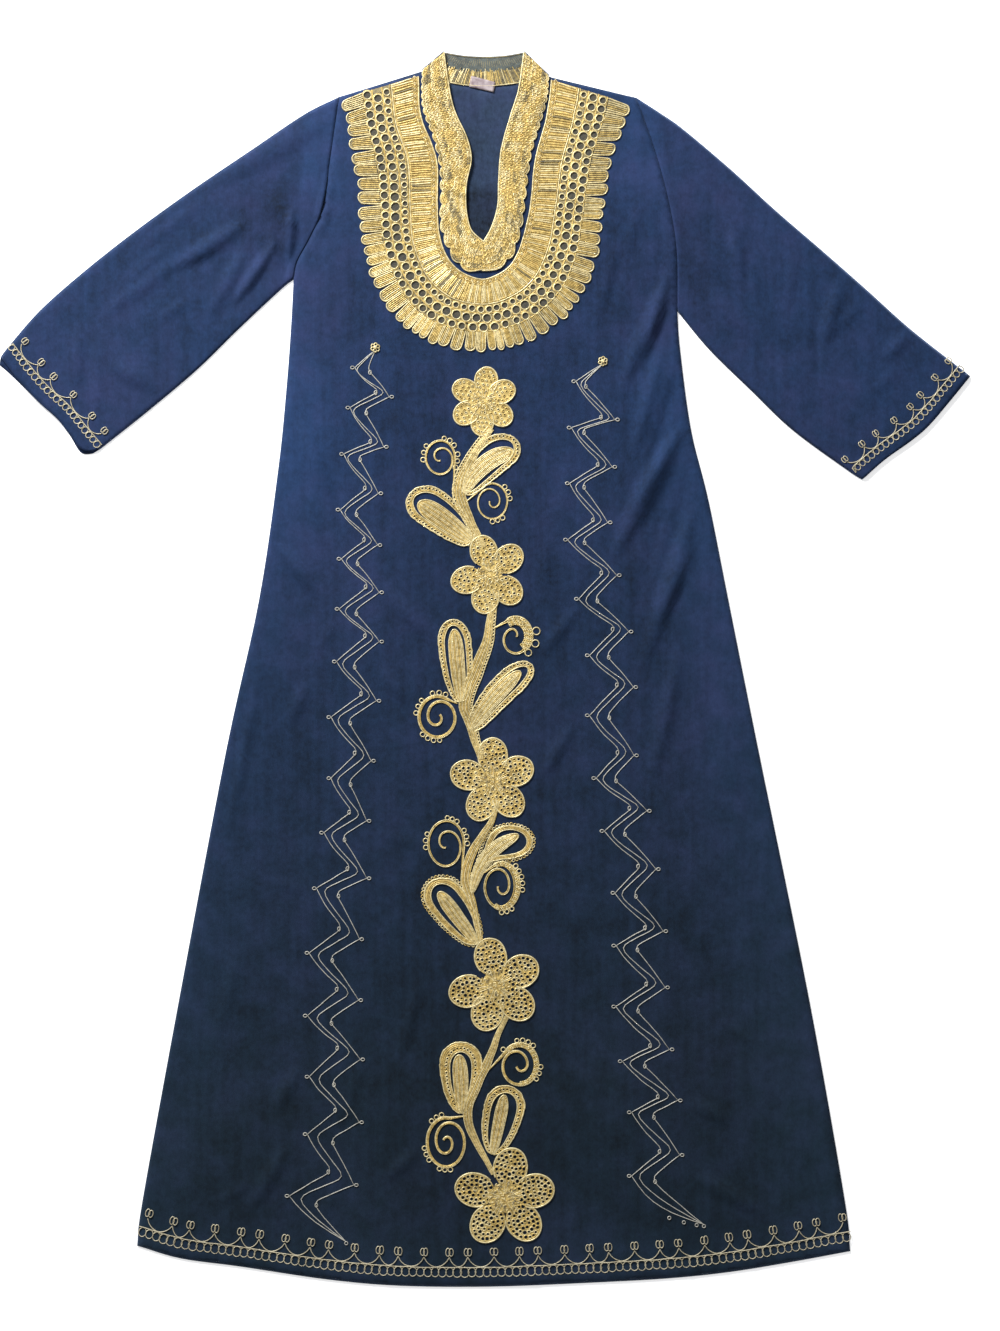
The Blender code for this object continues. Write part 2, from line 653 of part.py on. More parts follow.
def build_yoke(ground, parent):
    """Braid, ring lace and fan edging round the neck."""
    seam = GAP / YOKE_WIDTH
    braid = yoke_line(RING_INNER + seam) + yoke_line(1.0)[::-1]
    trim("yoke_braid", [braid], [], ground, parent)
    rings = yoke_line(FAN_INNER + seam) + yoke_line(RING_INNER - seam)[::-1]
    holes = []
    for row, share in enumerate(HOLE_ROWS):
        line = evenly(yoke_line(share), HOLE_PITCH)
        middles = [start.lerp(end, 0.5) for start, end in zip(line, line[1:])] if row % 2 else line[1:-1]
        holes += [disc(middle, HOLE_RADIUS, HOLE_SIDES, row * HOLE_TURN) for middle in middles]
    trim("yoke_rings", [rings], holes, ground, parent)
    foot, cleft, tip = (yoke_line(share) for share in (FAN_INNER - seam, FAN_CLEFT, 0.0))
    count = round(sum((end - start).length for start, end in zip(tip, tip[1:])) / FAN_PITCH)
    edge = [along(cleft, 0)]
    for index in range(count):
        edge += [along(tip, (index + share) / count) for share in FAN_TIP]
        edge.append(along(cleft, (index + 1) / count))
    trim("yoke_fan", [edge + foot[::-1]], [], ground, parent)


def flower_shapes(flower, grow=0.0):
    """Hearts of a flower's petals, and the outlines of its hub and petals grown by a margin."""
    centre = Vector((flower.x, flower.y))
    angles = [math.radians(flower.turn) + math.tau * index / flower.petals for index in range(flower.petals)]
    reach = flower.ring - flower.petal * HEART_INSET
    hearts = [centre + reach * Vector((math.cos(angle), math.sin(angle))) for angle in angles]
    petals = [disc(heart, flower.petal + grow, PETAL_SIDES, angle) for heart, angle in zip(hearts, angles)]
    hub = disc(centre, flower.ring - flower.petal * HUB_INSET + grow, 2 * flower.petals, angles[0])
    return hearts, [hub, *petals]


def build_flower(flower, ground, parent):
    """One flower: a ring of round petals round a hub, each petal a little domed."""
    centre = Vector((flower.x, flower.y))
    hearts, outlines = flower_shapes(flower)
    lines = [[heart, centre] for heart in hearts]

    def crown(x, y):
        near = min((Vector((x, y)) - heart).length for heart in hearts)
        return DOME * max(0.0, 1 - near / flower.petal)

    points, triangles = triangulate(outlines, (), ground.near(outlines) + lines)
    sheet(
        flower.name, points, triangles, lambda x, y: ground.rest(x, y) + GAP,
        lambda x, y: ground.rest(x, y) + GAP + TRIM + crown(x, y), cord(flower.name), parent,
    )


def leaf_half(leaf, share):
    """Half width of a leaf at a share of its length from the root."""
    return LEAF_FOOT * (1 - share) + leaf.width / 2 * math.sin(math.pi * share ** LEAF_BELLY) ** LEAF_ROUND


def leaf_place(leaf, share, across):
    """Place in a leaf at a share of its length and a distance to the left of its axis."""
    root = Vector((leaf.root_x, leaf.root_y))
    way = Vector((leaf.tip_x, leaf.tip_y)) - root
    side = Vector((-way.y, way.x)).normalized()
    return root + way * share + side * (leaf.bow * math.sin(math.pi * share) + across)


def leaf_shapes(leaf):
    """Outline of a leaf, and the slots between its rim and its core."""
    right = [leaf_place(leaf, share, -leaf_half(leaf, share)) for share in LEAF_SHARES]
    left = [leaf_place(leaf, share, leaf_half(leaf, share)) for share in LEAF_SHARES]
    outline = right + [leaf_place(leaf, 1.0, 0.0)] + left[::-1]
    slots = []
    for side in (-1 if letter == "r" else 1 for letter in leaf.slots):
        rim = [leaf_place(leaf, share, side * (leaf_half(leaf, share) - LEAF_BAND)) for share in SLOT_SHARES]
        core = [leaf_place(leaf, share, side * LEAF_CORE * (1 - share / 2)) for share in SLOT_SHARES]
        slots.append(rim + core[::-1])
    return outline, slots


def spiral_place(spiral, share, out=0.0):
    """Place on a spiral at a share of its length, moved outward by a distance."""
    angle = math.radians(spiral.start) + math.tau * spiral.turns * share
    size = 1 - SPIRAL_WIND * share ** SPIRAL_LATE
    across = (spiral.wide * size + out) * math.cos(angle)
    return Vector((spiral.x + across, spiral.y + (spiral.tall * size + out) * math.sin(angle)))


def spiral_line(spiral):
    """Route of a spiral from where it leaves the stem to its inner end."""
    count = round(abs(spiral.turns) * SPIRAL_STEPS)
    start = Vector((spiral.from_x, spiral.from_y))
    return [start] + [spiral_place(spiral, step / count) for step in range(count + 1)]


def picots(spiral):
    """Small loops along the outer side of a spiral's first turn."""
    middles = [spiral_place(spiral, turn / abs(spiral.turns), 0.75 * PICOT) for turn in PICOT_PLACES]
    return [disc(middle, PICOT, PICOT_SIDES) for middle in middles]


def build_spray(spray, ground, parent):
    """Stem with two leaves and two spirals."""
    outlines, slots = [ribbon(curve(spray.stem, 2), STEM_WIDTH)], []
    for leaf in spray.leaves:
        outline, gaps = leaf_shapes(leaf)
        outlines.append(outline)
        slots += gaps
    for spiral in spray.spirals:
        outlines.append(ribbon(spiral_line(spiral), spiral.cord))
        outlines += picots(spiral)
    for flower in FLOWERS:
        slots += flower_shapes(flower, 1.5 * GAP)[1]
    trim(spray.name, outlines, slots, ground, parent)


def zigzag_lines(zigzag):
    """Three cords of a zigzag that start at one knot and end at one tail."""
    lines = []
    for spread in ZIGZAG_SPREAD:
        line = [Vector(zigzag.head)]
        for left, right in zip(zigzag.west, zigzag.east):
            width = Vector((right.x - left.x, 0))
            line.append(Vector(left) + width * spread)
            line.append(Vector(right) - width * (ZIGZAG_SPREAD[-1] - spread))
        if len(zigzag.west) > len(zigzag.east):
            line.append(Vector(zigzag.west[-1]) + Vector((ZIGZAG_WIDTH * spread, 0)))
        lines.append([*line, Vector(zigzag.tail)])
    return lines


def build_zigzag(zigzag, ground, parent):
    """One zigzag of three cords down the front."""
    outlines = [ribbon(line, ZIGZAG_CORD) for line in zigzag_lines(zigzag)]
    outlines.append(disc(Vector(zigzag.head), KNOT, KNOT_SIDES))
    outlines.append(disc(Vector(zigzag.tail), ZIGZAG_CORD, KNOT_SIDES))
    trim(zigzag.name, outlines, [], ground, parent)


def build_border(name, edge, ground, parent):
    """Band of loops with swags and knots along a hem, set back from its edge on the left of the line."""
    row = [spot + sideways(edge, index) * BORDER_SET_BACK for index, spot in enumerate(edge)]
    outlines = [ribbon(evenly(row, SWAG_PITCH / 2), BORDER_BAND)]
    places = evenly(row, SWAG_PITCH)
    tops = [spot + sideways(places, index) * SWAG_RISE for index, spot in enumerate(places)]
    for index, (start, end) in enumerate(zip(tops, tops[1:])):
        outlines.append(disc(start, KNOT, KNOT_SIDES))
        low = places[index].lerp(places[index + 1], 0.5) + sideways(places, index) * SWAG_DIP
        bulge = (end - start) * SWAG_BULGE
        line = [start, start.lerp(low, SWAG_FALL) - bulge, low, end.lerp(low, SWAG_FALL) + bulge, end]
        outlines.append(ribbon(line, SWAG_CORD))
    outlines.append(disc(tops[-1], KNOT, KNOT_SIDES))
    trim(name, outlines, [], ground, parent)


def centre(caftan):
    """Move the caftan so that its origin lies under the middle of its box."""
    spots = [spot.co for piece in caftan.children for spot in piece.data.vertices]
    west, east = min(spot.x for spot in spots), max(spot.x for spot in spots)
    south, north = min(spot.y for spot in spots), max(spot.y for spot in spots)
    caftan.location = (-(west + east) / 2, -(south + north) / 2, 0)
    bpy.context.view_layer.update()


def main():
    """Build the caftan with its origin under the middle of its box."""
    for item in list(bpy.data.objects):
        bpy.data.objects.remove(item)
    caftan = bpy.data.objects.new("caftan", None)
    bpy.context.scene.collection.objects.link(caftan)
    front = build_panels(caftan)
    left, left_rows = build_sleeve(LEFT_SLEEVE, caftan)
    right, right_rows = build_sleeve(RIGHT_SLEEVE, caftan)
    build_collar(caftan)
    build_label(caftan)
    build_yoke(front, caftan)
    for flower in FLOWERS:
        build_flower(flower, front, caftan)
    for spray in SPRAYS:
        build_spray(spray, front, caftan)
    for zigzag in ZIGZAGS:
        build_zigzag(zigzag, front, caftan)
    hem = curve(HEM, 4)
    build_border("hem_border", hem[1:-1], front, caftan)
    build_border("cuff_border_left", left_rows[-1][1:-1], left, caftan)
    build_border("cuff_border_right", right_rows[-1][::-1][1:-1], right, caftan)
    centre(caftan)


main()
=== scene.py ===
"""Moroccan caftan laid flat with its front up: navy cloth and gold cord work.

Sizes are in millimetres and become metres when a mesh is made. X runs across the garment, Y up
it from hem to collar, and Z up from the surface that it lies on. The places of the cloth and of
the cord work are those of the solids, which this script dresses.
"""

import logging
import math
from dataclasses import dataclass, field
from enum import Enum
from typing import Callable, NamedTuple, Optional, Sequence

import bpy
import numpy as np
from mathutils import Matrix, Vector, geometry, noise

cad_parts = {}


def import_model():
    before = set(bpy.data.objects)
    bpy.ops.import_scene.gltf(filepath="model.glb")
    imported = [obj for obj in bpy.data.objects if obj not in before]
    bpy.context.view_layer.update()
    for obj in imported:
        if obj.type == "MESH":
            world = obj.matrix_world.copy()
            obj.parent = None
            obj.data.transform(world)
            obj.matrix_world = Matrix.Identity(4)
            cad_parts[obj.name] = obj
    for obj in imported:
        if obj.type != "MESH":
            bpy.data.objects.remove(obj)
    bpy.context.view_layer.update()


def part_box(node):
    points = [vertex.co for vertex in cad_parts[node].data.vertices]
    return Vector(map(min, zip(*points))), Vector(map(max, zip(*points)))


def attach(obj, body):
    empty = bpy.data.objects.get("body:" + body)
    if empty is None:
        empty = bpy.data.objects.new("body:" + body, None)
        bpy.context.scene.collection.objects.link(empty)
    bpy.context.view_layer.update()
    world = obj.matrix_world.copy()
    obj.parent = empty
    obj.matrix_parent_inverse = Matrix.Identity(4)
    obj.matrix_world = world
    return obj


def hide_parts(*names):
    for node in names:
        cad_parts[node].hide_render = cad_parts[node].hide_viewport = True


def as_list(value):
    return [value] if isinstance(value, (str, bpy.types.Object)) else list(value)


log = logging.getLogger("caftan")

Points = np.ndarray
Ground = Callable[[Points], np.ndarray]

MM = 0.001
BODY = "root"
STRAY_SEED = 7


class Tone(Enum):
    """Finish of a cord or of a bed of close stitching."""

    PALE = 0
    GOLD = 1
    # Gold in painted shade, for the hollows between and under the threads
    DEEP = 2
    THIN = 3
    # Grey-teal of the collar's inner face behind the neck, partly painted light where that face catches the
    # light
    SLATE = 4
    COOL = 5
    # Dark backing of painted shade, which fills the holes of the ring lace
    SHADE = 6


class Spot(NamedTuple):
    """Place on the cloth."""

    x: float
    y: float


class Fold(NamedTuple):
    """Soft ridge of the cloth, or a trough where its rise is below zero."""

    foot_x: float
    foot_y: float
    head_x: float
    head_y: float
    half: float
    rise: float


class Section(NamedTuple):
    """Collar from its free edge to its seam."""

    free_x: float
    free_y: float
    seam_x: float
    seam_y: float


class Station(NamedTuple):
    """Yoke from its outer edge to its inner edge."""

    outer_x: float
    outer_y: float
    inner_x: float
    inner_y: float


class Grain(NamedTuple):
    """Layer of noise in a finish: changes in a metre, strength, finer layers and factors on the axes."""

    scale: float
    gain: float
    detail: float = 3.0
    stretch: tuple[float, float, float] = (1.0, 1.0, 1.0)


class RingRow(NamedTuple):
    """Row of rings in the yoke: its place across the yoke, the radius of its holes and its pitch."""

    share: float
    hole: float
    pitch: float
    stagger: float


class Bloom(NamedTuple):
    """Flower: its middle, its petals and the way that each of them points, in degrees."""

    name: str
    x: float
    y: float
    ring: float
    petal: float
    angles: Sequence[float]


class Leaf(NamedTuple):
    """Leaf from its root to its tip, with its core, its rim and the place of the eyelets in the rim."""

    root_x: float
    root_y: float
    tip_x: float
    tip_y: float
    width: float
    bow: float
    core_x: float
    core_y: float
    core_width: float
    core_bow: float
    rim: float
    pinch: float
    row: float = 3.0
    lean: float = 1.0


class Curl(NamedTuple):
    """Spiral: where it leaves the stem, its middle, its radii, how it winds, its width, crest and loops."""

    from_x: float
    from_y: float
    x: float
    y: float
    wide: float
    tall: float
    start: float
    turns: float
    cord: float
    crest: float
    loops: Sequence[tuple[float, int]]
    picot: float = 2.3


class Sprig(NamedTuple):
    """Stem with its width, the side of its row of eyelets, its leaves and its spirals."""

    name: str
    width: float
    dots: int
    stem: Sequence[Spot]
    leaves: Sequence[Leaf]
    curls: Sequence[Curl]


class Zone(NamedTuple):
    """Soft round patch of painted light where its gain is above zero, and of painted shade where it is below,
    in metres.
    """

    x: float
    y: float
    wide: float
    tall: float
    gain: float


class Ply(NamedTuple):
    """One cord of a zigzag, each measure at its head, a third down and at its tail.

    The first two are how far inside the west and the east tips it turns, the next two how much higher
    than the tips it does so. Then follow its sag between the turns and that of its last stretch.
    """

    west: tuple[float, float, float]
    east: tuple[float, float, float]
    west_rise: tuple[float, float, float]
    east_rise: tuple[float, float, float]
    sag: float
    tail_sag: float


class Run(NamedTuple):
    """One cord: the points of its middle line, its radius at each, and its finish."""

    points: Points
    radii: np.ndarray
    tone: Tone
    closed: bool


def table(kind: Callable, *rows: Sequence) -> tuple:
    """Rows of a table with named columns."""
    return tuple(kind(*row) for row in rows)


LEFT_SIDE = table(
    Spot, (-211, 428), (-214, 373), (-219, 307), (-228, 219), (-249, 76), (-285, -89), (-337, -364),
    (-377, -584), (-383, -634),
)
RIGHT_SIDE = table(
    Spot, (211, 393), (214, 351), (226, 263), (245, 186), (267, 76), (300, -89), (356, -364), (395, -584),
    (401, -640),
)
HEM = table(
    Spot, (-383, -634), (-335, -648), (-269, -657), (-175, -671), (-95, -678), (5, -679), (109, -675),
    (200, -670), (268, -663), (336, -652), (401, -640),
)
LEFT_ARMHOLE = table(Spot, (-161, 629), (-171, 559), (-179, 507), (-192, 476), (-207, 448), (-211, 428))
RIGHT_ARMHOLE = table(Spot, (166, 628), (186, 571), (201, 516), (210, 461), (211, 393))
LEFT_NECK = Spot(-70, 655)
RIGHT_NECK = Spot(68, 650)
SLIT_FOOT = Spot(-1, 467)

COLLAR_LEFT = table(
    Section, (-2, 470, -4, 435), (-16, 484, -30, 444), (-21, 510, -48, 481), (-20, 536, -49, 521),
    (-15, 560, -50, 553), (-20, 584, -58, 586), (-34, 615, -68, 613), (-41, 648, -70, 637),
    (-45, 678, -69, 658),
)
COLLAR_BACK = table(
    Section, (-45, 678, -69, 658), (-23, 674.5, -40, 644), (-1, 673.5, -1, 640), (21, 674.5, 39, 644),
    (42, 678, 69, 652),
)
COLLAR_RIGHT = table(
    Section, (42, 678, 69, 652), (36, 637, 67, 628), (27, 608, 60, 602), (17, 571, 49, 565),
    (14, 536, 43, 521), (13, 509, 38, 485), (6, 485, 25, 450), (-2, 470, -4, 435),
)
LABEL_CORNERS = table(Spot, (-18, 640), (9, 634), (11, 645), (-16, 652))

LEFT_OVER = table(
    Spot, (-161, 629), (-199, 610), (-257, 571), (-322, 527), (-383, 483), (-439, 439), (-489, 395),
    (-524, 355), (-533, 343),
)
LEFT_UNDER = table(Spot, (-211, 428), (-225, 417), (-272, 373), (-317, 329), (-369, 285), (-423, 242))
LEFT_CUFF = table(
    Spot, (-533, 343), (-513, 317), (-492, 294), (-471, 275), (-457, 258), (-442, 240), (-423, 242),
)
RIGHT_OVER = table(
    Spot, (166, 628), (194, 610), (218, 593), (270, 549), (318, 505), (369, 461), (419, 417), (468, 373),
    (533, 322),
)
RIGHT_UNDER = table(Spot, (211, 393), (246, 351), (291, 307), (337, 263), (397, 219), (414, 208))
RIGHT_CUFF = table(Spot, (533, 322), (511, 295), (487, 267), (467, 250), (439, 230), (414, 208))

YOKE = table(
    Station, (-161, 626, -74, 651), (-153, 588, -71, 607), (-147, 553, -54, 560), (-141, 505, -53, 510),
    (-137, 461, -51, 477), (-113, 400, -40, 449), (-69, 359, -23, 434), (-3, 346, -3, 428),
    (60, 363, 17, 435), (104, 402, 32, 449), (126, 455, 42, 474), (133, 510, 50, 513), (142, 558, 55, 560),
    (153, 593, 67, 604), (162, 620, 73, 647),
)

# Largest folds of the cloth, which its solids have too
FOLDS = table(
    Fold, (218, 270, 139, 120, 17, 7.0), (202, 440, 162, 318, 14, 8.5), (195, 356, 162, 228, 13, 5.0),
    (232, 184, 170, -7, 15, 5.5), (216, 32, 181, -133, 14, 4.0), (102, 69, 61, 15, 11, 3.0),
    (97, -58, 61, -122, 12, 3.5), (-229, 141, -182, 76, 12, 4.0), (-112, 92, -61, 32, 12, 3.5),
    (-116, 2, -85, -41, 10, 3.0), (-206, 278, -168, 179, 14, 4.5), (-195, -12, -217, -65, 12, 3.0),
    (-244, 22, -287, -200, 9, 2.5), (-72, -337, -94, -432, 9, 2.5), (-204, -435, -232, -488, 13, 3.0),
    (-215, -520, -262, -600, 14, 3.5), (-73, -528, -111, -562, 12, 3.0), (223, -473, 271, -500, 12, 3.0),
    (227, -554, 310, -601, 14, 3.5), (-172, 548, -183, 474, 9, 4.0), (-213, 508, -217, 447, 10, 6.0),
    (-262, 492, -349, 434, 15, 5.0), (-228, 473, -279, 396, 11, 5.0), (-448, 385, -448, 305, 11, 3.0),
    (-413, 338, -372, 307, 11, 3.0), (390, 430, 372, 355, 14, 4.5), (470, 372, 436, 340, 12, 3.5),
    (270, 490, 283, 425, 12, 3.5), (240, 420, 300, 355, 12, 3.5),
)
# Finer creases of the front and the sleeves
CREASES = table(
    Fold, (-163, 58, -185, 16, 8, 1.4), (-47, -80, -50, -155, 8, 1.2), (-122, -178, -70, -196, 7, 1.3),
    (-234, -232, -198, -246, 8, 1.5), (66, 150, 66, 84, 8, 1.2), (200, 190, 158, 40, 9, -1.6),
    (214, 330, 170, 196, 9, -2.0), (186, 405, 152, 300, 8, -2.0), (230, 240, 186, 70, 8, -1.5),
    (152, 486, 118, 372, 9, 1.6), (172, 520, 150, 440, 7, 1.5), (150, 470, 138, 395, 7, -1.4),
    (196, 480, 188, 400, 8, -2.0), (-150, 120, -120, 70, 8, 1.1), (-205, 210, -178, 130, 9, 1.3),
    (-226, 60, -200, 20, 8, 1.2), (-130, -420, -160, -500, 9, 1.2), (40, -470, 84, -520, 10, 1.3),
    (84, -430, 130, -470, 9, 1.2), (255, -380, 300, -420, 10, 1.4), (250, -60, 284, -150, 12, 1.4),
    (230, -190, 270, -250, 12, 1.3), (-268, -300, -300, -420, 12, 1.5), (-250, -560, -300, -590, 10, 1.4),
    (-160, -560, -182, -610, 9, 1.3), (140, -560, 170, -600, 10, 1.3), (330, -480, 352, -560, 12, 1.4),
    (-60, 260, -66, 190, 9, 0.9), (-96, 300, -92, 210, 9, 1.0), (70, 262, 62, 190, 9, 0.9),
    (92, 230, 80, 150, 9, 1.0), (-219, 484, -219, 428, 6, -2.2), (-293, 455, -355, 432, 8, -1.6),
    (-269, 472, -297, 431, 7, -1.6), (-322, 407, -362, 383, 9, 1.6), (-428, 372, -426, 268, 7, 1.5),
    (-470, 396, -462, 330, 7, -1.2), (-390, 420, -420, 384, 9, 1.2), (-345, 468, -402, 420, 9, 1.3),
    (-300, 520, -380, 462, 10, 1.4), (-258, 420, -300, 372, 9, -1.5), (423, 411, 374, 362, 9, 1.6),
    (361, 395, 366, 317, 8, -1.4), (288, 452, 300, 400, 8, 1.2), (340, 456, 332, 400, 9, 1.1),
    (250, 520, 296, 470, 9, 1.4), (228, 474, 262, 420, 9, 1.6), (420, 300, 456, 330, 9, 1.3),
    (320, 330, 352, 300, 9, 1.2), (222, 560, 262, 520, 10, 1.3), (-240, 590, -300, 548, 9, -1.0),
    (-166, 608, -305, 530, 20, 2.6), (-243, 524, -202, 478, 8, 2.6), (-232, 492, -206, 486, 5, 1.8),
    (-238, 490, -228, 436, 7, 2.4), (-262, 462, -306, 385, 12, 2.2), (-330, 455, -410, 395, 14, 2.2),
    (-400, 350, -360, 300, 12, 2.0), (188, 509, 195, 453, 7, -2.2), (188, 438, 213, 398, 7, -2.0),
    (206, 407, 156, 307, 10, -2.4), (212, 375, 168, 190, 10, 2.2), (148, 540, 172, 528, 5, 1.2),
    (214, 268, 152, 160, 11, 4.0), (172, 384, 150, 296, 9, 4.5), (232, 146, 188, 50, 11, 3.0),
)

FLOWERS = table(
    Bloom, ("flower_1", -2, 294, 28, 14.5, (83, 27, -38, -94, -146, 150)),
    ("flower_2", 5, 104, 32, 17, (105, 40, -42, -101, -166)),
    ("flower_3", 8, -123, 34.5, 18.5, (90, 22, -51, -116, 167)),
    ("flower_4", 11, -347, 38, 20, (100, 28, -41, -106, -167)),
    ("flower_5", 21, -581, 41, 21, (79, 13, -52, -123, 165)),
)

SPRAYS = (
    Sprig(
        "spray_1", 12.0, -1,
        table(
            Spot, (1, 256), (-10, 240), (-19, 224), (-26, 208), (-28, 193), (-23, 177), (-15, 160),
            (-6, 143),
        ),
        (Leaf(-24, 194, 34.5, 252.5, 41, 5, 30, 241, 18.6, 8, 6.3, 0.45),
         Leaf(-15, 140, -84, 193, 44, -3, -73.5, 183, 20.6, -1.5, 7.3, 0.42)),
        (Curl(-35.5, 190, -49.5, 232.4, 16, 18.5, 0, 1.75, 2.4, 0, ((-0.03, 3), (0.16, 3), (0.46, 3))),
         Curl(-22, 183, 7.5, 184.3, 16.5, 19.5, 134, -1.87, 2.1, 0, ((0.30, 3), (0.572, 3)))),
    ),
    Sprig(
        "spray_2", 13.5, 1,
        table(
            Spot, (6, 62), (4, 45), (2, 32), (-2, 20), (-7, 8), (-12, -5), (-17, -17), (-21, -29),
            (-23, -42), (-19, -54), (-15, -67), (-12, -79), (-8, -90),
        ),
        (Leaf(-27, -36, -36.5, 55, 37.2, 0, -34.3, 43.5, 15.6, 0, 6.9, 0.42),
         Leaf(-16.5, -66.5, 51, 6, 32, 4, 38.5, -2.5, 14.6, 2.5, 6.5, 0.4)),
        (Curl(8, 44, 31, 35, 17, 19.5, 120, -1.32, 2.9, 7.6, ((0.375, 3),), 3.7),
         Curl(-31, -38, -53, -52.5, 20, 22.5, 65, 1.925, 3.6, 0, ((0.055, 3), (0.247, 3), (0.52, 4)))),
    ),
    Sprig(
        "spray_3", 10.0, 0,
        table(
            Spot, (11, -154), (6, -169), (-5, -186), (-14, -200), (-20, -217), (-22, -232), (-18, -246),
            (-13, -262), (-10, -279), (-6, -294),
        ),
        (Leaf(-15.5, -245, 48.5, -178, 45, 14, 36, -181.5, 14.0, 11, 7.0, 2.6, 0.3, 0.65),
         Leaf(-9, -302, -61, -231.5, 46, -1.5, -51.4, -245, 14.6, 0, 8.4, 0.5, 0.3)),
        (Curl(-27, -238, -43, -191.7, 19.5, 25, -10, 1.75, 2.7, 0, ((0.07, 3), (0.23, 3), (0.51, 3))),
         Curl(-8, -228, 17, -238.3, 18, 24.5, 115, -1.8, 3.0, 5.0, ((0.267, 5), (0.523, 3)))),
    ),
    Sprig(
        "spray_4", 10.5, 0,
        table(
            Spot, (19, -391), (13, -403), (8, -418), (1, -435), (-6, -449), (-12, -463), (-18, -477),
            (-19.5, -489), (-17, -504), (-11, -518), (-3.5, -532), (4, -546),
        ),
        (Leaf(-27, -488, -27, -409, 47, 0, -29, -423.8, 15.6, -1, 11.3, 0.55, 7.5),
         Leaf(8, -533, 27, -457.5, 45, 0, 21, -468, 12.6, 0, 8.2, 0.48, 5.0)),
        (Curl(4, -440, 37, -434.7, 19, 22, 140, -1.8, 3.4, 3.0, ((0.0, 1), (0.186, 4), (0.447, 3))),
         Curl(-21, -491, -43.4, -520, 20.5, 27, 80, 2.18, 3.4, 0, ((0.10, 3), (0.35, 3), (0.52, 3)))),
    ),
)

LEFT_ZIGZAG_WEST = table(
    Spot, (-146, 331), (-151, 287), (-158, 236), (-162, 175), (-161, 121), (-163, 66), (-166, 8),
    (-172, -53), (-172, -120), (-180, -180), (-188, -241), (-196, -312), (-198, -381), (-196, -448),
    (-198, -511), (-218, -579),
)
LEFT_ZIGZAG_EAST = table(
    Spot, (-103, 299), (-109, 244), (-115, 193), (-116, 136), (-114, 84), (-114, 30), (-117, -35),
    (-123, -101), (-128, -167), (-128, -230), (-136, -297), (-137, -364), (-135, -429), (-136, -498),
    (-142, -567),
)
RIGHT_ZIGZAG_WEST = table(
    Spot, (97, 316), (92, 265), (90, 204), (88, 142), (100, 77), (112, 15), (112, -51), (119, -120),
    (128, -178), (140, -246), (141, -304), (141, -371), (148, -431), (158, -487), (158, -557),
)
RIGHT_ZIGZAG_EAST = table(
    Spot, (145, 274), (142, 222), (137, 161), (147, 103), (160, 41), (165, -20), (166, -95), (180, -156),
    (190, -220), (198, -288), (200, -350), (205, -418), (214, -474), (216, -534),
)

LEFT_PLIES = table(
    Ply, ((0, 0, 0), (10.5, 10, 24), (0, 0, 0), (6, 8, 16.5), 2.6, 5),
    ((0, 2.7, 8.5), (3.5, 3, 10.5), (-3, -2, -2), (4.5, 4.5, 9), 1.2, 3),
    ((14, 14.5, 25), (0, 0, 0), (-3, -3, -7), (0, 0, 0), -1.3, 1),
)
RIGHT_PLIES = table(
    Ply, ((0, 0, 0), (10.5, 12.5, 17.5), (0, 0, 0), (3, 4.5, 5), 2.6, 11),
    ((2.5, 4.4, 3.7), (2.3, 5.5, 6), (-3, -2, -1.3), (1, 4, 5), 1.2, 4),
    ((7, 17, 21), (0, 0, 0), (-3, 0, -3), (0, 0, 0), -1.3, 1),
)
# Painted shade in the gathers under the arms and beside them, and a painted patch of light on the left front
# near its side
PAINTED_LIGHT_AND_SHADE_ZONES = table(
    Zone, (-0.226, 0.494, 0.07, 0.05, -0.36), (0.192, 0.44, 0.09, 0.105, -0.37),
    (-0.165, 0.405, 0.06, 0.08, -0.2), (-0.205, 0.225, 0.075, 0.13, 0.24), (-0.08, 0.27, 0.09, 0.07, -0.1),
)

KEY_FACTORS = (12.9898, 78.233, 37.719)
SCATTER = 43758.5453
MIXED = (Tone.PALE, Tone.GOLD, Tone.PALE, Tone.GOLD, Tone.DEEP)


def array(spots: Sequence[Spot]) -> Points:
    """Spots as rows of x and y."""
    return np.array(spots, float)


def smooth(places: Points, steps: int = 8) -> Points:
    """Curve through places.

    Args:
        places: rows of coordinates, in order.
        steps: points in each span.

    Returns:
        The points of the curve, ends included.
    """
    ends = np.vstack([2 * places[0] - places[1], places, 2 * places[-1] - places[-2]])
    t = np.linspace(0, 1, steps, endpoint=False)[:, None]
    spans = []
    for before, start, end, after in zip(ends, ends[1:], ends[2:], ends[3:]):
        square = (2 * before - 5 * start + 4 * end - after) * t ** 2
        cube = (3 * start - before - 3 * end + after) * t ** 3
        spans.append(0.5 * (2 * start + (end - before) * t + square + cube))
    return np.vstack([*spans, places[-1:]])


def gone(line: Points) -> np.ndarray:
    """Length of the line up to each of its points."""
    return np.concatenate([[0.0], np.cumsum(np.linalg.norm(np.diff(line, axis=0), axis=1))])


def at_lengths(line: Points, lengths: np.ndarray) -> Points:
    """Points of a line at the given lengths from its start."""
    marks = gone(line)
    return np.column_stack([np.interp(lengths, marks, line[:, axis]) for axis in range(line.shape[1])])


def evenly(line: Points, pitch: float) -> Points:
    """Points along a line, about the pitch apart, with both ends."""
    whole = gone(line)[-1]
    return at_lengths(line, np.linspace(0, whole, max(2, round(whole / pitch) + 1)))


def one_long(vectors: Points) -> Points:
    """Vectors with their length made one."""
    return vectors / np.maximum(np.linalg.norm(vectors, axis=-1, keepdims=True), 1e-9)


def left_of(line: Points) -> Points:
    """Unit vectors to the left of a line at its points."""
    way = one_long(np.gradient(line[:, :2], axis=0))
    return np.column_stack([-way[:, 1], way[:, 0]])


def ways(angle: float) -> tuple[Points, Points]:
    """Unit vector at an angle, and the one to its left."""
    return np.array((math.cos(angle), math.sin(angle))), np.array((-math.sin(angle), math.cos(angle)))


def beside(line: Points, off: float) -> Points:
    """The line moved to its left."""
    return line + left_of(line) * off


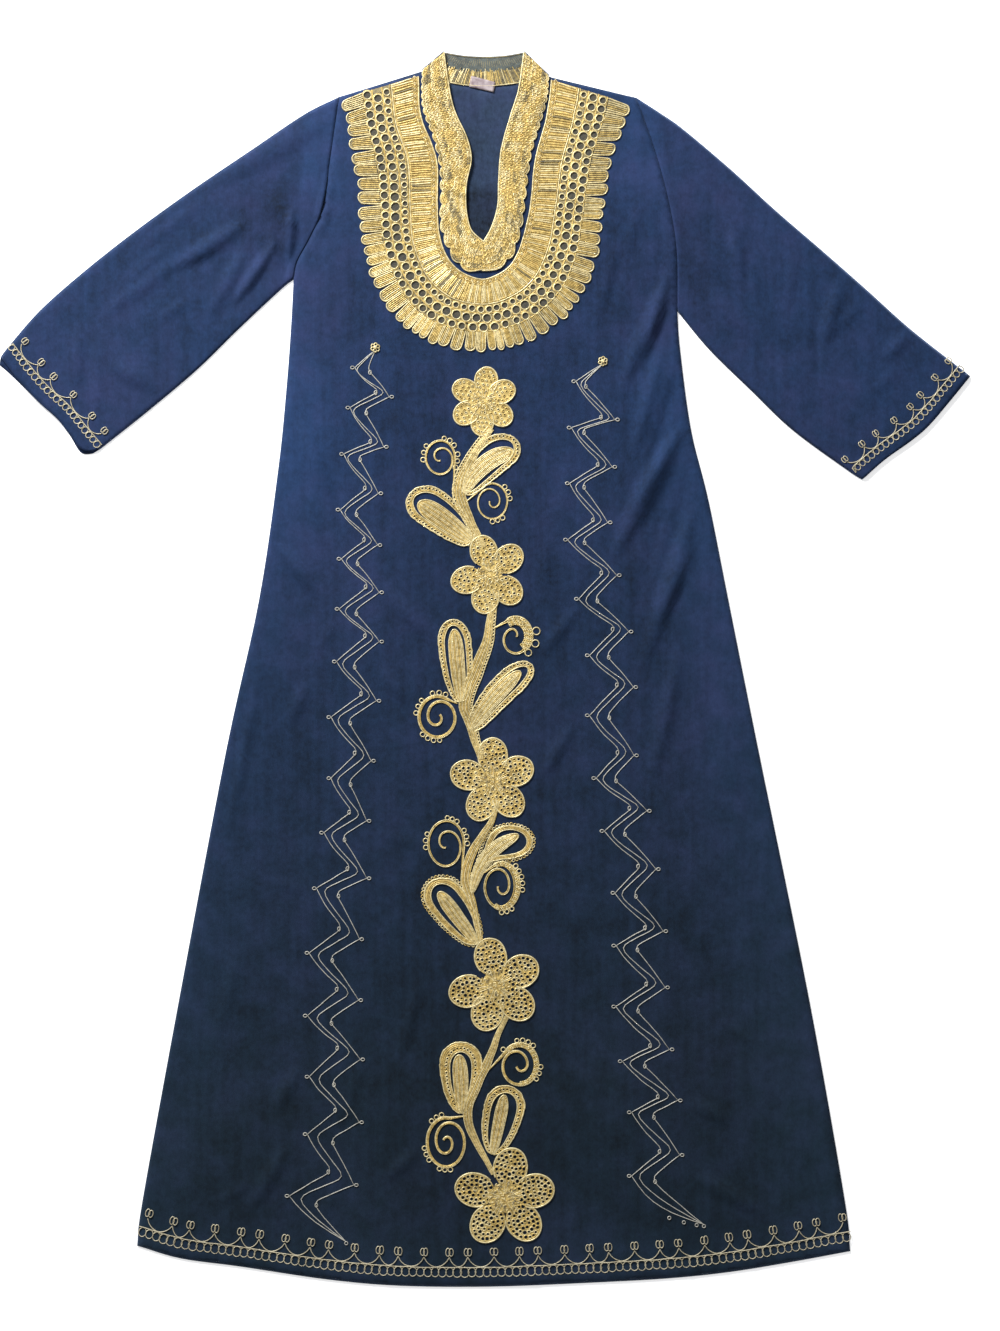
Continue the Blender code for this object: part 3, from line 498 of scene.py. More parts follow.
def round_line(x: float, y: float, radius: float, sides: int = 12, turn: float = 0.0) -> Points:
    """Points of a circle in counterclockwise order from an angle, without closing it."""
    angles = turn + math.tau * np.arange(sides) / sides
    return np.column_stack([x + radius * np.cos(angles), y + radius * np.sin(angles)])


def ripples(points: Points, size: float, layer: float) -> np.ndarray:
    """Smooth noise at places, that changes over the given size."""
    return np.array([noise.noise(Vector((x / size, y / size, layer))) for x, y in points[:, :2]])


def wander(points: Points, amount: float, size: float = 14.0) -> Points:
    """Points moved by up to an amount, as handwork strays, in a way that changes over the given size."""
    moves = [noise.noise_vector(Vector((x / size, y / size, amount)))[:2] for x, y in points[:, :2]]
    return points + amount * np.array(moves)


def chance(*keys: float) -> float:
    """Number between 0 and 1 that depends only on the keys."""
    return math.sin(sum(key * factor for key, factor in zip(keys, KEY_FACTORS))) * SCATTER % 1.0


def pick(tones: Sequence[Tone], reach: float, *keys: float) -> Tone:
    """One of the first finishes, as many as the reach, by chance."""
    return tones[int(chance(*keys) * reach)]


def near(points: Points, *lines: Points) -> np.ndarray:
    """Distance from each point to the nearest of some lines.

    Args:
        points: rows of x and y.
        lines: the lines.

    Returns:
        The distances.
    """
    best = np.full(len(points), 1e9)
    for start, end in (span for line in lines for span in zip(line, line[1:])):
        way = end - start
        share = np.clip(((points - start) @ way) / max(way @ way, 1e-9), 0, 1)
        best = np.minimum(best, np.linalg.norm(points - start - share[:, None] * way, axis=1))
    return best


def ease(values: np.ndarray) -> np.ndarray:
    """Soft step from 0 to 1 as the values go from 0 to 1."""
    held = np.clip(values, 0, 1)
    return held * held * (3 - 2 * held)


def quarter(values: np.ndarray) -> np.ndarray:
    """Round shoulder from 0 to 1 as the values go from 0 to 1."""
    return np.sqrt(1 - (1 - np.clip(values, 0, 1)) ** 2)


@dataclass(frozen=True)
class Lay:
    """How the garment lies: the height of its front layer and its place in the frame."""

    shift: Points
    top: float = 2.7
    least: float = 2.0
    swell_size: float = 110.0
    swell: float = 0.9
    swell_layer: float = 0.3
    ripple_size: float = 36.0
    ripple: float = 0.28
    ripple_layer: float = 7.1

    @staticmethod
    def fold_rise(fold: Fold, points: Points) -> np.ndarray:
        """Rise of the cloth over one fold.

        Args:
            fold: the fold.
            points: rows of x and y.

        Returns:
            The rise at each point.
        """
        foot = np.array((fold.foot_x, fold.foot_y))
        way = np.array((fold.head_x, fold.head_y)) - foot
        long = np.linalg.norm(way)
        off = points[:, :2] - foot
        bell = np.sin(math.pi * np.clip(off @ way / long ** 2, 0, 1))
        half = np.maximum(fold.half * np.sqrt(bell), 1e-6)
        across = np.abs(off[:, 0] * way[1] - off[:, 1] * way[0]) / long
        return fold.rise * bell * np.cos(math.pi / 2 * np.clip(across / half, 0, 1)) ** 2

    def folds(self, points: Points) -> np.ndarray:
        """Rise of the cloth over its folds, the highest at each point, and its creases."""
        folds = np.max([self.fold_rise(fold, points) for fold in FOLDS], axis=0).clip(0)
        return folds + sum(self.fold_rise(crease, points) for crease in CREASES)

    def waves(self, points: Points) -> np.ndarray:
        """Slow swell and small ripple of the cloth."""
        slow = self.swell * ripples(points, self.swell_size, self.swell_layer)
        return slow + self.ripple * ripples(points, self.ripple_size, self.ripple_layer)

    def height(self, points: Points) -> np.ndarray:
        """Height of the upper surface, which never comes down to the layer underneath."""
        return np.maximum(self.top + self.folds(points) + self.waves(points), self.least)

    def placed(self, points: Points) -> Points:
        """Place points in the frame.

        Args:
            points: rows of x and y, and of z where they have it, in millimetres.

        Returns:
            The points in metres.
        """
        moved = np.array(points, float)
        moved[:, :2] += self.shift
        return moved * MM


class Strip:
    """Band between two edge lines that run side by side."""

    def __init__(self, start: Points, end: Points) -> None:
        """Keep the edges.

        Args:
            start: edge at share 0 across.
            end: edge at share 1 across, with as many points.
        """
        self.start, self.end = start, end
        self.marks = gone((start + end) / 2)
        self.length = float(self.marks[-1])

    @classmethod
    def through(cls, rows: Sequence[tuple[float, ...]], steps: int) -> "Strip":
        """Band whose rows hold the x and y of both its edges."""
        table = smooth(np.array(rows, float), steps)
        return cls(table[:, :2], table[:, 2:])

    def at(self, along: np.ndarray, across: np.ndarray) -> Points:
        """Places in the band.

        Args:
            along: shares of its length.
            across: shares of its width.

        Returns:
            Rows of x and y.
        """
        along, across = np.broadcast_arrays(np.asarray(along, float), np.asarray(across, float))
        steps = np.arange(len(self.marks))
        index = np.interp(along * self.length, self.marks, steps)
        first, last = (
            np.column_stack([np.interp(index, steps, edge[:, axis]) for axis in (0, 1)])
            for edge in (self.start, self.end)
        )
        return first + (last - first) * across[:, None]

    def line(self, across: float, pitch: float = 4.0, span: tuple[float, float] = (0.0, 1.0)) -> Points:
        """Lengthwise line at one share of the width."""
        count = max(2, round(self.length * (span[1] - span[0]) / pitch) + 1)
        return self.at(np.linspace(*span, count), np.full(count, across))


def feed(place: bpy.types.NodeSocket, item: object) -> None:
    """Link a wire to a socket, or set the socket.

    Args:
        place: the socket.
        item: wire or value.
    """
    if isinstance(item, Wire):
        place.id_data.links.new(item.socket, place)
    else:
        place.default_value = item


class Wire:
    """Socket of a shader, with the operators that add its maths nodes."""

    def __init__(self, socket: bpy.types.NodeSocket) -> None:
        """Wrap a socket."""
        self.socket = socket

    def _maths(self, operation: str, first: object, second: object) -> "Wire":
        """Add one maths node.

        Args:
            operation: what it does.
            first: value or wire.
            second: value or wire.

        Returns:
            Its result.
        """
        node = self.socket.id_data.nodes.new("ShaderNodeMath")
        node.operation = operation
        feed(node.inputs[0], first)
        feed(node.inputs[1], second)
        return Wire(node.outputs[0])

    def __add__(self, other: object) -> "Wire":
        """Sum."""
        return self._maths("ADD", self, other)

    def __radd__(self, other: object) -> "Wire":
        """Sum with a number first."""
        return self._maths("ADD", other, self)

    def __sub__(self, other: object) -> "Wire":
        """Difference."""
        return self._maths("SUBTRACT", self, other)

    def __rsub__(self, other: object) -> "Wire":
        """Difference with a number first."""
        return self._maths("SUBTRACT", other, self)

    def __mul__(self, other: object) -> "Wire":
        """Product."""
        return self._maths("MULTIPLY", self, other)

    def __rmul__(self, other: object) -> "Wire":
        """Product with a number first."""
        return self._maths("MULTIPLY", other, self)

    def sine(self) -> "Wire":
        """Sine."""
        return self._maths("SINE", self, 0.0)

    def unsigned(self) -> "Wire":
        """The value without its sign."""
        return self._maths("ABSOLUTE", self, 0.0)

    def held(self) -> "Wire":
        """The value kept between 0 and 1."""
        return self._maths("MAXIMUM", self._maths("MINIMUM", self, 1.0), 0.0)

    def ramp(self, start: float, end: float) -> "Wire":
        """Share of the way from a start to an end, kept between 0 and 1."""
        return ((self - start) * (1 / (end - start))).held()


class Shader:
    """Material under construction."""

    def __init__(self, name: str) -> None:
        """Start a material.

        Args:
            name: its name.
        """
        self.material = bpy.data.materials.new(name)
        self.material.use_nodes = True
        self.surface = self.material.node_tree.nodes["Principled BSDF"]
        self.place = Wire(self.node("ShaderNodeTexCoord").outputs["Object"])

    def node(self, kind: str, settings: Optional[dict] = None,
             inputs: Optional[dict] = None) -> bpy.types.Node:
        """Add a node.

        Args:
            kind: its type.
            settings: attributes that are set first.
            inputs: values or wires of its sockets, by name or number.

        Returns:
            The node.
        """
        node = self.material.node_tree.nodes.new(kind)
        for key, value in (settings or {}).items():
            setattr(node, key, value)
        for key, value in (inputs or {}).items():
            feed(node.inputs[key], value)
        return node

    def speckle(self, grain: Grain) -> Wire:
        """Noise over the piece.

        Args:
            grain: its size and form.

        Returns:
            A value about one half.
        """
        placed = self.node("ShaderNodeMapping", inputs={"Vector": self.place, "Scale": grain.stretch})
        node = self.node("ShaderNodeTexNoise", inputs={
            "Vector": Wire(placed.outputs[0]), "Scale": grain.scale, "Detail": grain.detail,
        })
        return Wire(node.outputs[0])

    def mottled(self, grains: Sequence[Grain], level: float) -> tuple[Wire, list[Wire]]:
        """Layers of noise about a level.

        Args:
            grains: the layers.
            level: what they sum to in the mean.

        Returns:
            Their sum, and each of them about one half.
        """
        wires = [self.speckle(grain) for grain in grains]
        total = sum(((wire - 0.5) * grain.gain for wire, grain in zip(wires, grains)), level)
        return total, wires

    def mix(self, share: Wire, *colours: object) -> Wire:
        """Mix two colours.

        Args:
            share: how much of the second one.
            colours: both, as values or wires.

        Returns:
            The mixture.
        """
        first, second = (item if isinstance(item, Wire) else (*item, 1.0) for item in colours)
        node = self.node("ShaderNodeMix", {"data_type": "RGBA"}, {0: share, 6: first, 7: second})
        return Wire(node.outputs[2])

    def bump(self, height: Wire, depth: float, strength: float) -> None:
        """Raise the surface by a height between 0 and 1, with the depth in metres of a height of 1."""
        node = self.node("ShaderNodeBump", inputs={"Height": height, "Distance": depth, "Strength": strength})
        self.dress(Normal=Wire(node.outputs[0]))

    def dress(self, **values: object) -> None:
        """Feed or set sockets of the surface, named with underscores for spaces."""
        for key, value in values.items():
            feed(self.surface.inputs[key.replace("_", " ")], value)


@dataclass(frozen=True)
class NavyCloth:
    """Soft matt navy cloth that is bluer at the chest and deeper towards the hem, as painted falloff of the
    light, sizes in metres.
    """

    name: str = "navy_cloth"
    chest: tuple[float, float, float] = (0.0105, 0.0280, 0.0780)
    foot: tuple[float, float, float] = (0.0070, 0.0170, 0.0290)
    violet: tuple[float, float, float] = (0.0190, 0.0215, 0.0620)
    sheen: tuple[float, float, float, float] = (0.45, 0.62, 1.0, 1.0)
    thread: float = 0.0007
    # Where the painted falloff of the light towards the hem starts and ends, and its slant towards the right
    foot_from: float = 0.26
    foot_to: float = -0.46
    slant: float = 0.12
    # Width and strength of the painted shade down the middle of the front
    spread: float = 0.13
    middle_painted_shade: float = 0.22
    pit: Spot = Spot(0.211, 0.428)
    flare: float = 0.1686
    painted_edge_light: float = 0.32
    painted_hem_light: float = 0.26
    left_painted_shade: float = 0.10
    right_painted_shade: float = 0.13
    slit_painted_shade: float = 0.0
    slow: Grain = Grain(6.0, 0.8, 4.0)
    blotch: Grain = Grain(34.0, 1.0, 4.0)
    mottle: Grain = Grain(170.0, 0.8)
    grain: Grain = Grain(620.0, 0.6, 3.0, (1.0, 0.45, 1.0))
    streak: Grain = Grain(75.0, 0.6, 2.0, (1.6, 0.10, 1.0))

    @staticmethod
    def patch(x: Wire, y: Wire, zone: Zone) -> Wire:
        """Soft round change of painted light and shade, 0 outside its zone."""
        off_x, off_y = (x - zone.x) * (1 / zone.wide), (y - zone.y) * (1 / zone.tall)
        return (1.0 - off_x * off_x - off_y * off_y).held() * zone.gain

    def zones(self, x: Wire, y: Wire, down: Wire) -> Wire:
        """Painted light and shade across the body: painted shade beside its middle, painted light at its
        edges and hem, and the painted patches.

        Args:
            x: place across.
            y: place along.
            down: share of the way to the foot.

        Returns:
            The change.
        """
        side = x.unsigned()
        off = side - (self.pit.x + (self.pit.y - y) * self.flare)
        # Painted light along the side edges of the body
        edge = off.ramp(-0.08, 0.0) * off.ramp(0.015, 0.005)
        # Painted shade beside the middle, stronger on the right and towards the hem on the left
        beside_middle = side.ramp(0.10, 0.1714) * off.ramp(-0.05, -0.10)
        right = x.ramp(-0.025, 0.025)
        dark = right * self.right_painted_shade + (1.0 - right) * down * self.left_painted_shade
        # Painted light near the hem
        change = edge * self.painted_edge_light + y.ramp(-0.605, -0.645) * self.painted_hem_light - beside_middle * dark
        for zone in PAINTED_LIGHT_AND_SHADE_ZONES:
            change = change + self.patch(x, y, zone)
        return change

    def made(self) -> bpy.types.Material:
        """Material of the cloth."""
        shader = Shader(self.name)
        parts = shader.node("ShaderNodeSeparateXYZ", inputs={0: shader.place})
        x, y = Wire(parts.outputs[0]), Wire(parts.outputs[1])
        # Painted falloff of the light: the cloth darkens and loses blue towards the hem and the right
        down = (y - x * self.slant).ramp(self.foot_from, self.foot_to)
        layers = (self.slow, self.blotch, self.mottle, self.grain, self.streak)
        shade, (slow, blotch, mottle, grain, _) = shader.mottled(layers, 1.0)
        hue = ((slow - 0.5) * 2.4 + (blotch - 0.5) * 2.0 + 0.3).held() * (0.6 - down * 0.3)
        tint = shader.mix(hue, shader.mix(down, self.chest, self.foot), self.violet)
        # Painted shade down the middle of the front, deeper towards the hem
        middle = (1.0 - x * x * (1 / self.spread ** 2)).held() * self.middle_painted_shade
        shade = shade - middle * (0.6 + down * 0.6) + self.zones(x, y, down)
        # Painted shade on the back panel below the upper part of the neck slit, which shows at the foot of
        # the slit
        shade = shade - y.ramp(0.534, 0.5215) * self.slit_painted_shade
        base = shader.node("ShaderNodeVectorMath", {"operation": "SCALE"}, {0: tint, "Scale": shade})
        weft, warp = ((place * (math.tau / self.thread)).sine() for place in (x, y))
        shader.bump(0.5 + 0.2 * (weft * warp) + (grain - 0.5) * 0.7 + (mottle - 0.5) * 1.1, 0.0005, 0.35)
        shader.dress(Base_Color=Wire(base.outputs[0]), Roughness=(0.72 + blotch * 0.16).held(),
                     Sheen_Weight=0.22, Sheen_Roughness=0.45, Sheen_Tint=self.sheen, Specular_IOR_Level=0.15)
        return shader.material


@dataclass(frozen=True)
class CordFinish:
    """Metallic cord or close stitching, mottled as the threads catch the light."""

    name: str
    light: tuple[float, float, float]
    shade: tuple[float, float, float]
    metallic: float = 0.35
    roughness: float = 0.40
    level: float = 0.62
    grains: tuple[Grain, ...] = (Grain(850.0, 2.2, 2.0), Grain(240.0, 2.4), Grain(26.0, 0.9))

    def made(self) -> bpy.types.Material:
        """Material of the cord."""
        shader = Shader(self.name)
        share, (fine, middle, _) = shader.mottled(self.grains, self.level)
        rough = self.roughness + (0.5 - fine) * 0.35 + (middle - 0.5) * 0.3
        shader.bump(fine, 0.0005, 0.5)
        shader.dress(Base_Color=shader.mix(share.held(), self.shade, self.light), Roughness=rough.held(),
                     Metallic=self.metallic, Specular_IOR_Level=0.5)
        return shader.material


@dataclass(frozen=True)
class LabelTape:
    """Smooth pale woven tape, blank."""

    name: str = "label_tape"
    light: tuple[float, float, float] = (0.42, 0.35, 0.35)
    shade: tuple[float, float, float] = (0.17, 0.11, 0.12)
    patches: Grain = Grain(150.0, 3.0)
    weave: Grain = Grain(1500.0, 1.0, 1.0, (1.0, 0.2, 1.0))

    def made(self) -> bpy.types.Material:
        """Material of the tape."""
        shader = Shader(self.name)
        share, _ = shader.mottled((self.patches,), 0.6)
        shader.bump(shader.speckle(self.weave), 0.0002, 0.4)
        shader.dress(Base_Color=shader.mix(share.held(), self.shade, self.light), Roughness=0.6)
        return shader.material


@dataclass(frozen=True)
class Finishes:
    """Materials of the garment."""

    cloth: bpy.types.Material
    inner: bpy.types.Material
    cords: tuple[bpy.types.Material, ...]
    label: bpy.types.Material

    @staticmethod
    def made() -> "Finishes":
        """Make every material once, those of the cords in the order of the tones."""
        cords = (
            CordFinish("pale_cord", (0.95, 0.81, 0.45), (0.52, 0.41, 0.18), 0.30, 0.36),
            CordFinish("gold_cord", (0.84, 0.63, 0.22), (0.38, 0.26, 0.08), 0.35, 0.38),
            # Gold in painted shade, for the hollows between and under the threads
            CordFinish("painted_shade_gold", (0.35, 0.275, 0.12), (0.087, 0.08, 0.065), 0.20, 0.55),
            CordFinish("thin_cord", (0.66, 0.59, 0.41), (0.36, 0.31, 0.20), 0.25, 0.42),
            # Grey-teal of the collar's inner face, partly painted light where it catches the light
            CordFinish("slate_stitching", (0.100, 0.114, 0.100), (0.040, 0.048, 0.042), 0.15, 0.60),
            CordFinish("cool_cord", (0.62, 0.59, 0.50), (0.32, 0.31, 0.27), 0.20, 0.45),
            # Dark backing of painted shade under the ring lace
            CordFinish("painted_shade_backing", (0.075, 0.065, 0.040), (0.030, 0.030, 0.028), 0.0, 0.80),
        )
        # Cloth of the back panel, with painted shade at the foot of the neck slit
        inner = NavyCloth("inner_cloth", (0.0245, 0.0440, 0.0830), slit_painted_shade=0.42)
        return Finishes(
            NavyCloth().made(), inner.made(), tuple(cord.made() for cord in cords), LabelTape().made(),
        )


def grid_shares(rows: int, columns: int) -> tuple[np.ndarray, np.ndarray]:
    """Shares along and across at the points of a grid with as many faces."""
    return (np.repeat(np.linspace(0, 1, rows + 1), columns + 1),
            np.tile(np.linspace(0, 1, columns + 1), rows + 1))


def grid_faces(rows: int, columns: int) -> list[list[int]]:
    """Faces of a grid of points.

    Args:
        rows: faces along it.
        columns: faces across it.

    Returns:
        The corners of each face.
    """
    wide = columns + 1
    starts = (row * wide + column for row in range(rows) for column in range(columns))
    return [[start, start + 1, start + wide + 1, start + wide] for start in starts]


def slab(places: Points, sheet: list, top: np.ndarray, bottom: np.ndarray) -> tuple[Points, list]:
    """Closed solid between two surfaces with the same faces.

    Args:
        places: rows of x and y.
        sheet: corners of each face of the upper surface.
        top: height of the upper surface at each place.
        bottom: height of the lower one.

    Returns:
        Points and faces.
    """
    count = len(places)
    edges = dict.fromkeys((start, end) for face in sheet for start, end in zip(face, face[1:] + face[:1]))
    faces = [*sheet, *([corner + count for corner in face[::-1]] for face in sheet)]
    faces += [[end, start, start + count, end + count] for start, end in edges if (end, start) not in edges]
    return np.vstack([np.column_stack([places, top]), np.column_stack([places, bottom])]), faces


def only(piece: bpy.types.Object) -> None:
    """Select one object and nothing else.

    Args:
        piece: the object.
    """
    bpy.ops.object.select_all(action="DESELECT")
    piece.select_set(True)
    bpy.context.view_layer.objects.active = piece


def mesh_piece(name: str, points: Points, faces: Sequence[Sequence[int]],
               materials: Sequence[bpy.types.Material]) -> bpy.types.Object:
    """Object from points in metres and faces.

    Args:
        name: its name.
        points: rows of x, y and z.
        faces: corners of each face.
        materials: its material slots.

    Returns:
        The object, shaded smooth.
    """
    mesh = bpy.data.meshes.new(name)
    mesh.from_pydata(points.tolist(), [], faces)
    for material in materials:
        mesh.materials.append(material)
    mesh.shade_smooth()
    piece = bpy.data.objects.new(name, mesh)
    bpy.context.scene.collection.objects.link(piece)
    return piece


def outward(piece: bpy.types.Object) -> None:
    """Turn the faces of a piece outwards.

    Args:
        piece: the piece.
    """
    only(piece)
    bpy.ops.object.mode_set(mode="EDIT")
    bpy.ops.mesh.select_all(action="SELECT")
    bpy.ops.mesh.normals_make_consistent(inside=False)
    bpy.ops.object.mode_set(mode="OBJECT")


def thicken(piece: bpy.types.Object, wall: float, face: int = 0, way: Sequence[float] = (0, 0, 1)) -> None:
    """Give a sheet its wall, inwards from its outer side.

    Args:
        piece: the sheet.
        wall: thickness of the wall.
        face: a face of the sheet.
        way: where that face has to look.
    """
    if piece.data.polygons[face].normal.dot(Vector(way)) < 0:
        piece.data.flip_normals()
    only(piece)
    solid = piece.modifiers.new("wall", "SOLIDIFY")
    solid.thickness = wall * MM
    solid.offset = -1.0
    bpy.ops.object.modifier_apply(modifier=solid.name)


def joined(name: str, pieces: Sequence[bpy.types.Object]) -> bpy.types.Object:
    """Join objects that have the same material slots.

    Args:
        name: name of the whole.
        pieces: the objects.

    Returns:
        The whole.
    """
    only(pieces[0])
    for piece in pieces[1:]:
        piece.select_set(True)
    if len(pieces) > 1:
        bpy.ops.object.join()
    whole = bpy.context.view_layer.objects.active
    whole.name = name
    return whole


def counterclockwise(outline: Points) -> Points:
    """Turn an outline the right way round.

    Args:
        outline: its points in order.

    Returns:
        The points in counterclockwise order.
    """
    after = np.roll(outline, -1, axis=0)
    area = float(np.sum(outline[:, 0] * after[:, 1] - after[:, 0] * outline[:, 1]))
    return outline if area > 0 else outline[::-1]


def fill(outline: Points, holes: Sequence[Points] = (),
         spread: Optional[Points] = None) -> tuple[Points, list]:
    """Fill an outline with triangles.

    Args:
        outline: its points in order.
        holes: outlines that stay open.
        spread: points inside, for an even mesh.

    Returns:
        Points and triangles.
    """
    points, faces = [], []
    for line in (outline, *holes):
        faces.append(list(range(len(points), len(points) + len(line))))
        points.extend(Vector(spot) for spot in counterclockwise(line))
    if spread is not None:
        points.extend(Vector(spot) for spot in spread)
    places, _, triangles, _, _, sources = geometry.delaunay_2d_cdt(points, [], faces, 0, 1e-3, True)
    kept = [triangle for triangle, source in zip(triangles, sources) if list(source) == [0]]
    used = sorted({index for triangle in kept for index in triangle})
    order = {old: new for new, old in enumerate(used)}
    return np.array([places[index] for index in used]), [[order[index] for index in face] for face in kept]


def lattice(outline: Points, pitch: float) -> Points:
    """Evenly spread points inside an outline.

    Args:
        outline: closed line, its first point not repeated.
        pitch: distance between the points.

    Returns:
        Points at least half a pitch inside.
    """
    low, high = outline.min(0), outline.max(0)
    rows = np.arange(low[1], high[1], pitch * math.sqrt(0.75))
    grid = np.array([
        (x, y) for row, y in enumerate(rows)
        for x in np.arange(low[0] + (row % 2) * pitch / 2, high[0], pitch)
    ])
    closed = np.vstack([outline, outline[:1]])
    inside = np.zeros(len(grid), bool)
    for start, end in zip(closed, closed[1:]):
        crosses = (start[1] > grid[:, 1]) != (end[1] > grid[:, 1])
        step = (end[1] - start[1]) or 1e-9
        inside ^= crosses & (grid[:, 0] < start[0] + (grid[:, 1] - start[1]) * (end[0] - start[0]) / step)
    grid = grid[inside]
    return grid[near(grid, closed) > pitch / 2]


@dataclass
class Work:
    """One piece of cord work: beds of close stitching and the cords laid on them."""

    name: str
    lay: Lay
    finishes: Finishes
    ground: Optional[Ground] = None
    lift: float = 0.0
    sunk: float = 0.05
    stout_from: float = 0.75
    runs: list[Run] = field(default_factory=list)
    beds: list[bpy.types.Object] = field(default_factory=list)

    def level(self, points: Points) -> np.ndarray:
        """Height of what the work lies on."""
        return (self.ground or self.lay.height)(points) + self.lift

    def cord(self, line: Points, radius: float = 0.8, tone: Tone = Tone.GOLD, lift: float = 0.0,
             closed: bool = False, taper: Optional[np.ndarray] = None, stray: float = 0.25) -> None:
        """Lay one cord.

        Args:
            line: rows of x and y.
            radius: its radius.
            tone: its finish.
            lift: how far it lies above the cloth.
            closed: whether it ends where it starts.
            taper: factors on the radius along it.
            stray: how far it strays from the line.
        """
        spots = wander(line, stray)
        points = np.column_stack([spots, self.level(spots) + lift + radius * 0.7])
        radii = radius * (np.ones(len(line)) if taper is None else taper)
        self.runs.append(Run(points, radii, tone, closed))

    def loop(self, x: float, y: float, radius: float, cord: float = 0.7, tone: Tone = Tone.PALE,
             lift: float = 0.0, sides: int = 10, turn: float = 0.0) -> None:
        """Lay a small ring of cord, with the radius of its middle line."""
        self.cord(round_line(x, y, radius, sides, turn), cord, tone, lift, True, stray=0.15)

    def lay_bed(self, places: Points, faces: list, tone: Tone, crease: float, grid: bool = False) -> None:
        """Add a closed bed to the piece.

        Args:
            places: its points, in millimetres.
            faces: corners of each face.
            tone: its finish.
            crease: angle in degrees from which an edge is sharp.
            grid: whether its faces have to be turned outwards.
        """
        piece = mesh_piece(self.name, self.lay.placed(places), faces, self.finishes.cords)
        if grid:
            outward(piece)
        piece.data.polygons.foreach_set("material_index", [tone.value] * len(faces))
        piece.data.set_sharp_from_angle(angle=math.radians(crease))
        self.beds.append(piece)

    def bed(self, outline: Points, holes: Sequence[Points] = (), height: float = 0.6,
            tone: Tone = Tone.DEEP, spread: Optional[Points] = None) -> None:
        """Lay a closed bed of stitching that fills an outline.

        Args:
            outline: its edge.
            holes: edges of its openings.
            height: how thick it is.
            tone: its finish.
            spread: points inside, where it has to follow the cloth closely.
        """
        places, triangles = fill(outline, holes, spread)
        level = self.level(places)
        self.lay_bed(*slab(places, triangles, level + height, level + self.sunk), tone, 50)

    def band(self, strip: Strip, across: tuple[float, float], height: float, tone: Tone,
             pitch: float = 4.0, columns: int = 7, edge: Optional[Callable] = None) -> None:
        """Lay a bed that follows a strip and is domed across it.

        Args:
            strip: band that it lies in.
            across: shares of the width between which it lies.
            height: how thick it is in the middle.
            tone: its finish.
            pitch: distance between its rows.
            columns: number of faces across.
            edge: how much further the far side reaches at each share of the length.
        """
        rows = max(3, round(strip.length / pitch))
        along, share = grid_shares(rows, columns)
        reach = across[1] - across[0] + (edge(along) if edge else 0.0)
        places = strip.at(along, across[0] + reach * share)
        dome = 0.35 + 0.65 * np.sqrt(np.clip(1 - (2 * share - 1) ** 2, 0, 1))
        level = self.level(places)
        self.lay_bed(*slab(places, grid_faces(rows, columns), level + height * dome, level + self.sunk),
                     tone, 60, True)

    def cords(self, runs: Sequence[Run], resolution: int) -> list[bpy.types.Object]:
        """Mesh of cords from curves with a round section.

        Args:
            runs: the cords.
            resolution: fineness of their section.

        Returns:
            The object in a list, which is empty where there are no cords.
        """
        if not runs:
            return []
        curve = bpy.data.curves.new(self.name, "CURVE")
        curve.dimensions = "3D"
        curve.bevel_depth = MM
        curve.bevel_resolution = resolution
        curve.use_fill_caps = True
        for material in self.finishes.cords:
            curve.materials.append(material)
        for run in runs:
            spline = curve.splines.new("POLY")
            spline.points.add(len(run.points) - 1)
            places = np.column_stack([self.lay.placed(run.points), np.ones(len(run.points))])
            spline.points.foreach_set("co", places.ravel())
            spline.points.foreach_set("radius", run.radii)
            spline.use_cyclic_u = run.closed
            spline.material_index = run.tone.value
            spline.use_smooth = True
        piece = bpy.data.objects.new(self.name, curve)
        bpy.context.scene.collection.objects.link(piece)
        only(piece)
        bpy.ops.object.convert(target="MESH")
        return [bpy.context.view_layer.objects.active]

    def made(self) -> bpy.types.Object:
        """Join the beds and the cords, stout ones with a finer section, into one object."""
        stout = [run for run in self.runs if run.radii.max() >= self.stout_from]
        slim = [run for run in self.runs if run.radii.max() < self.stout_from]
        return joined(self.name, [*self.beds, *self.cords(stout, 1), *self.cords(slim, 0)])


def dressed(piece: bpy.types.Object, node: str) -> bpy.types.Object:
    """Let a piece stand for a solid.

    Args:
        piece: finished piece.
        node: the solid that it stands for.

    Returns:
        The piece.
    """
    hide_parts(node)
    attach(piece, BODY)
    triangles = sum(len(face.vertices) - 2 for face in piece.data.polygons)
    low = min(corner.co.z for corner in piece.data.vertices) / MM
    log.info("%s stands for %s with %d triangles from %.2f mm up", piece.name, node, triangles, low)
    return piece


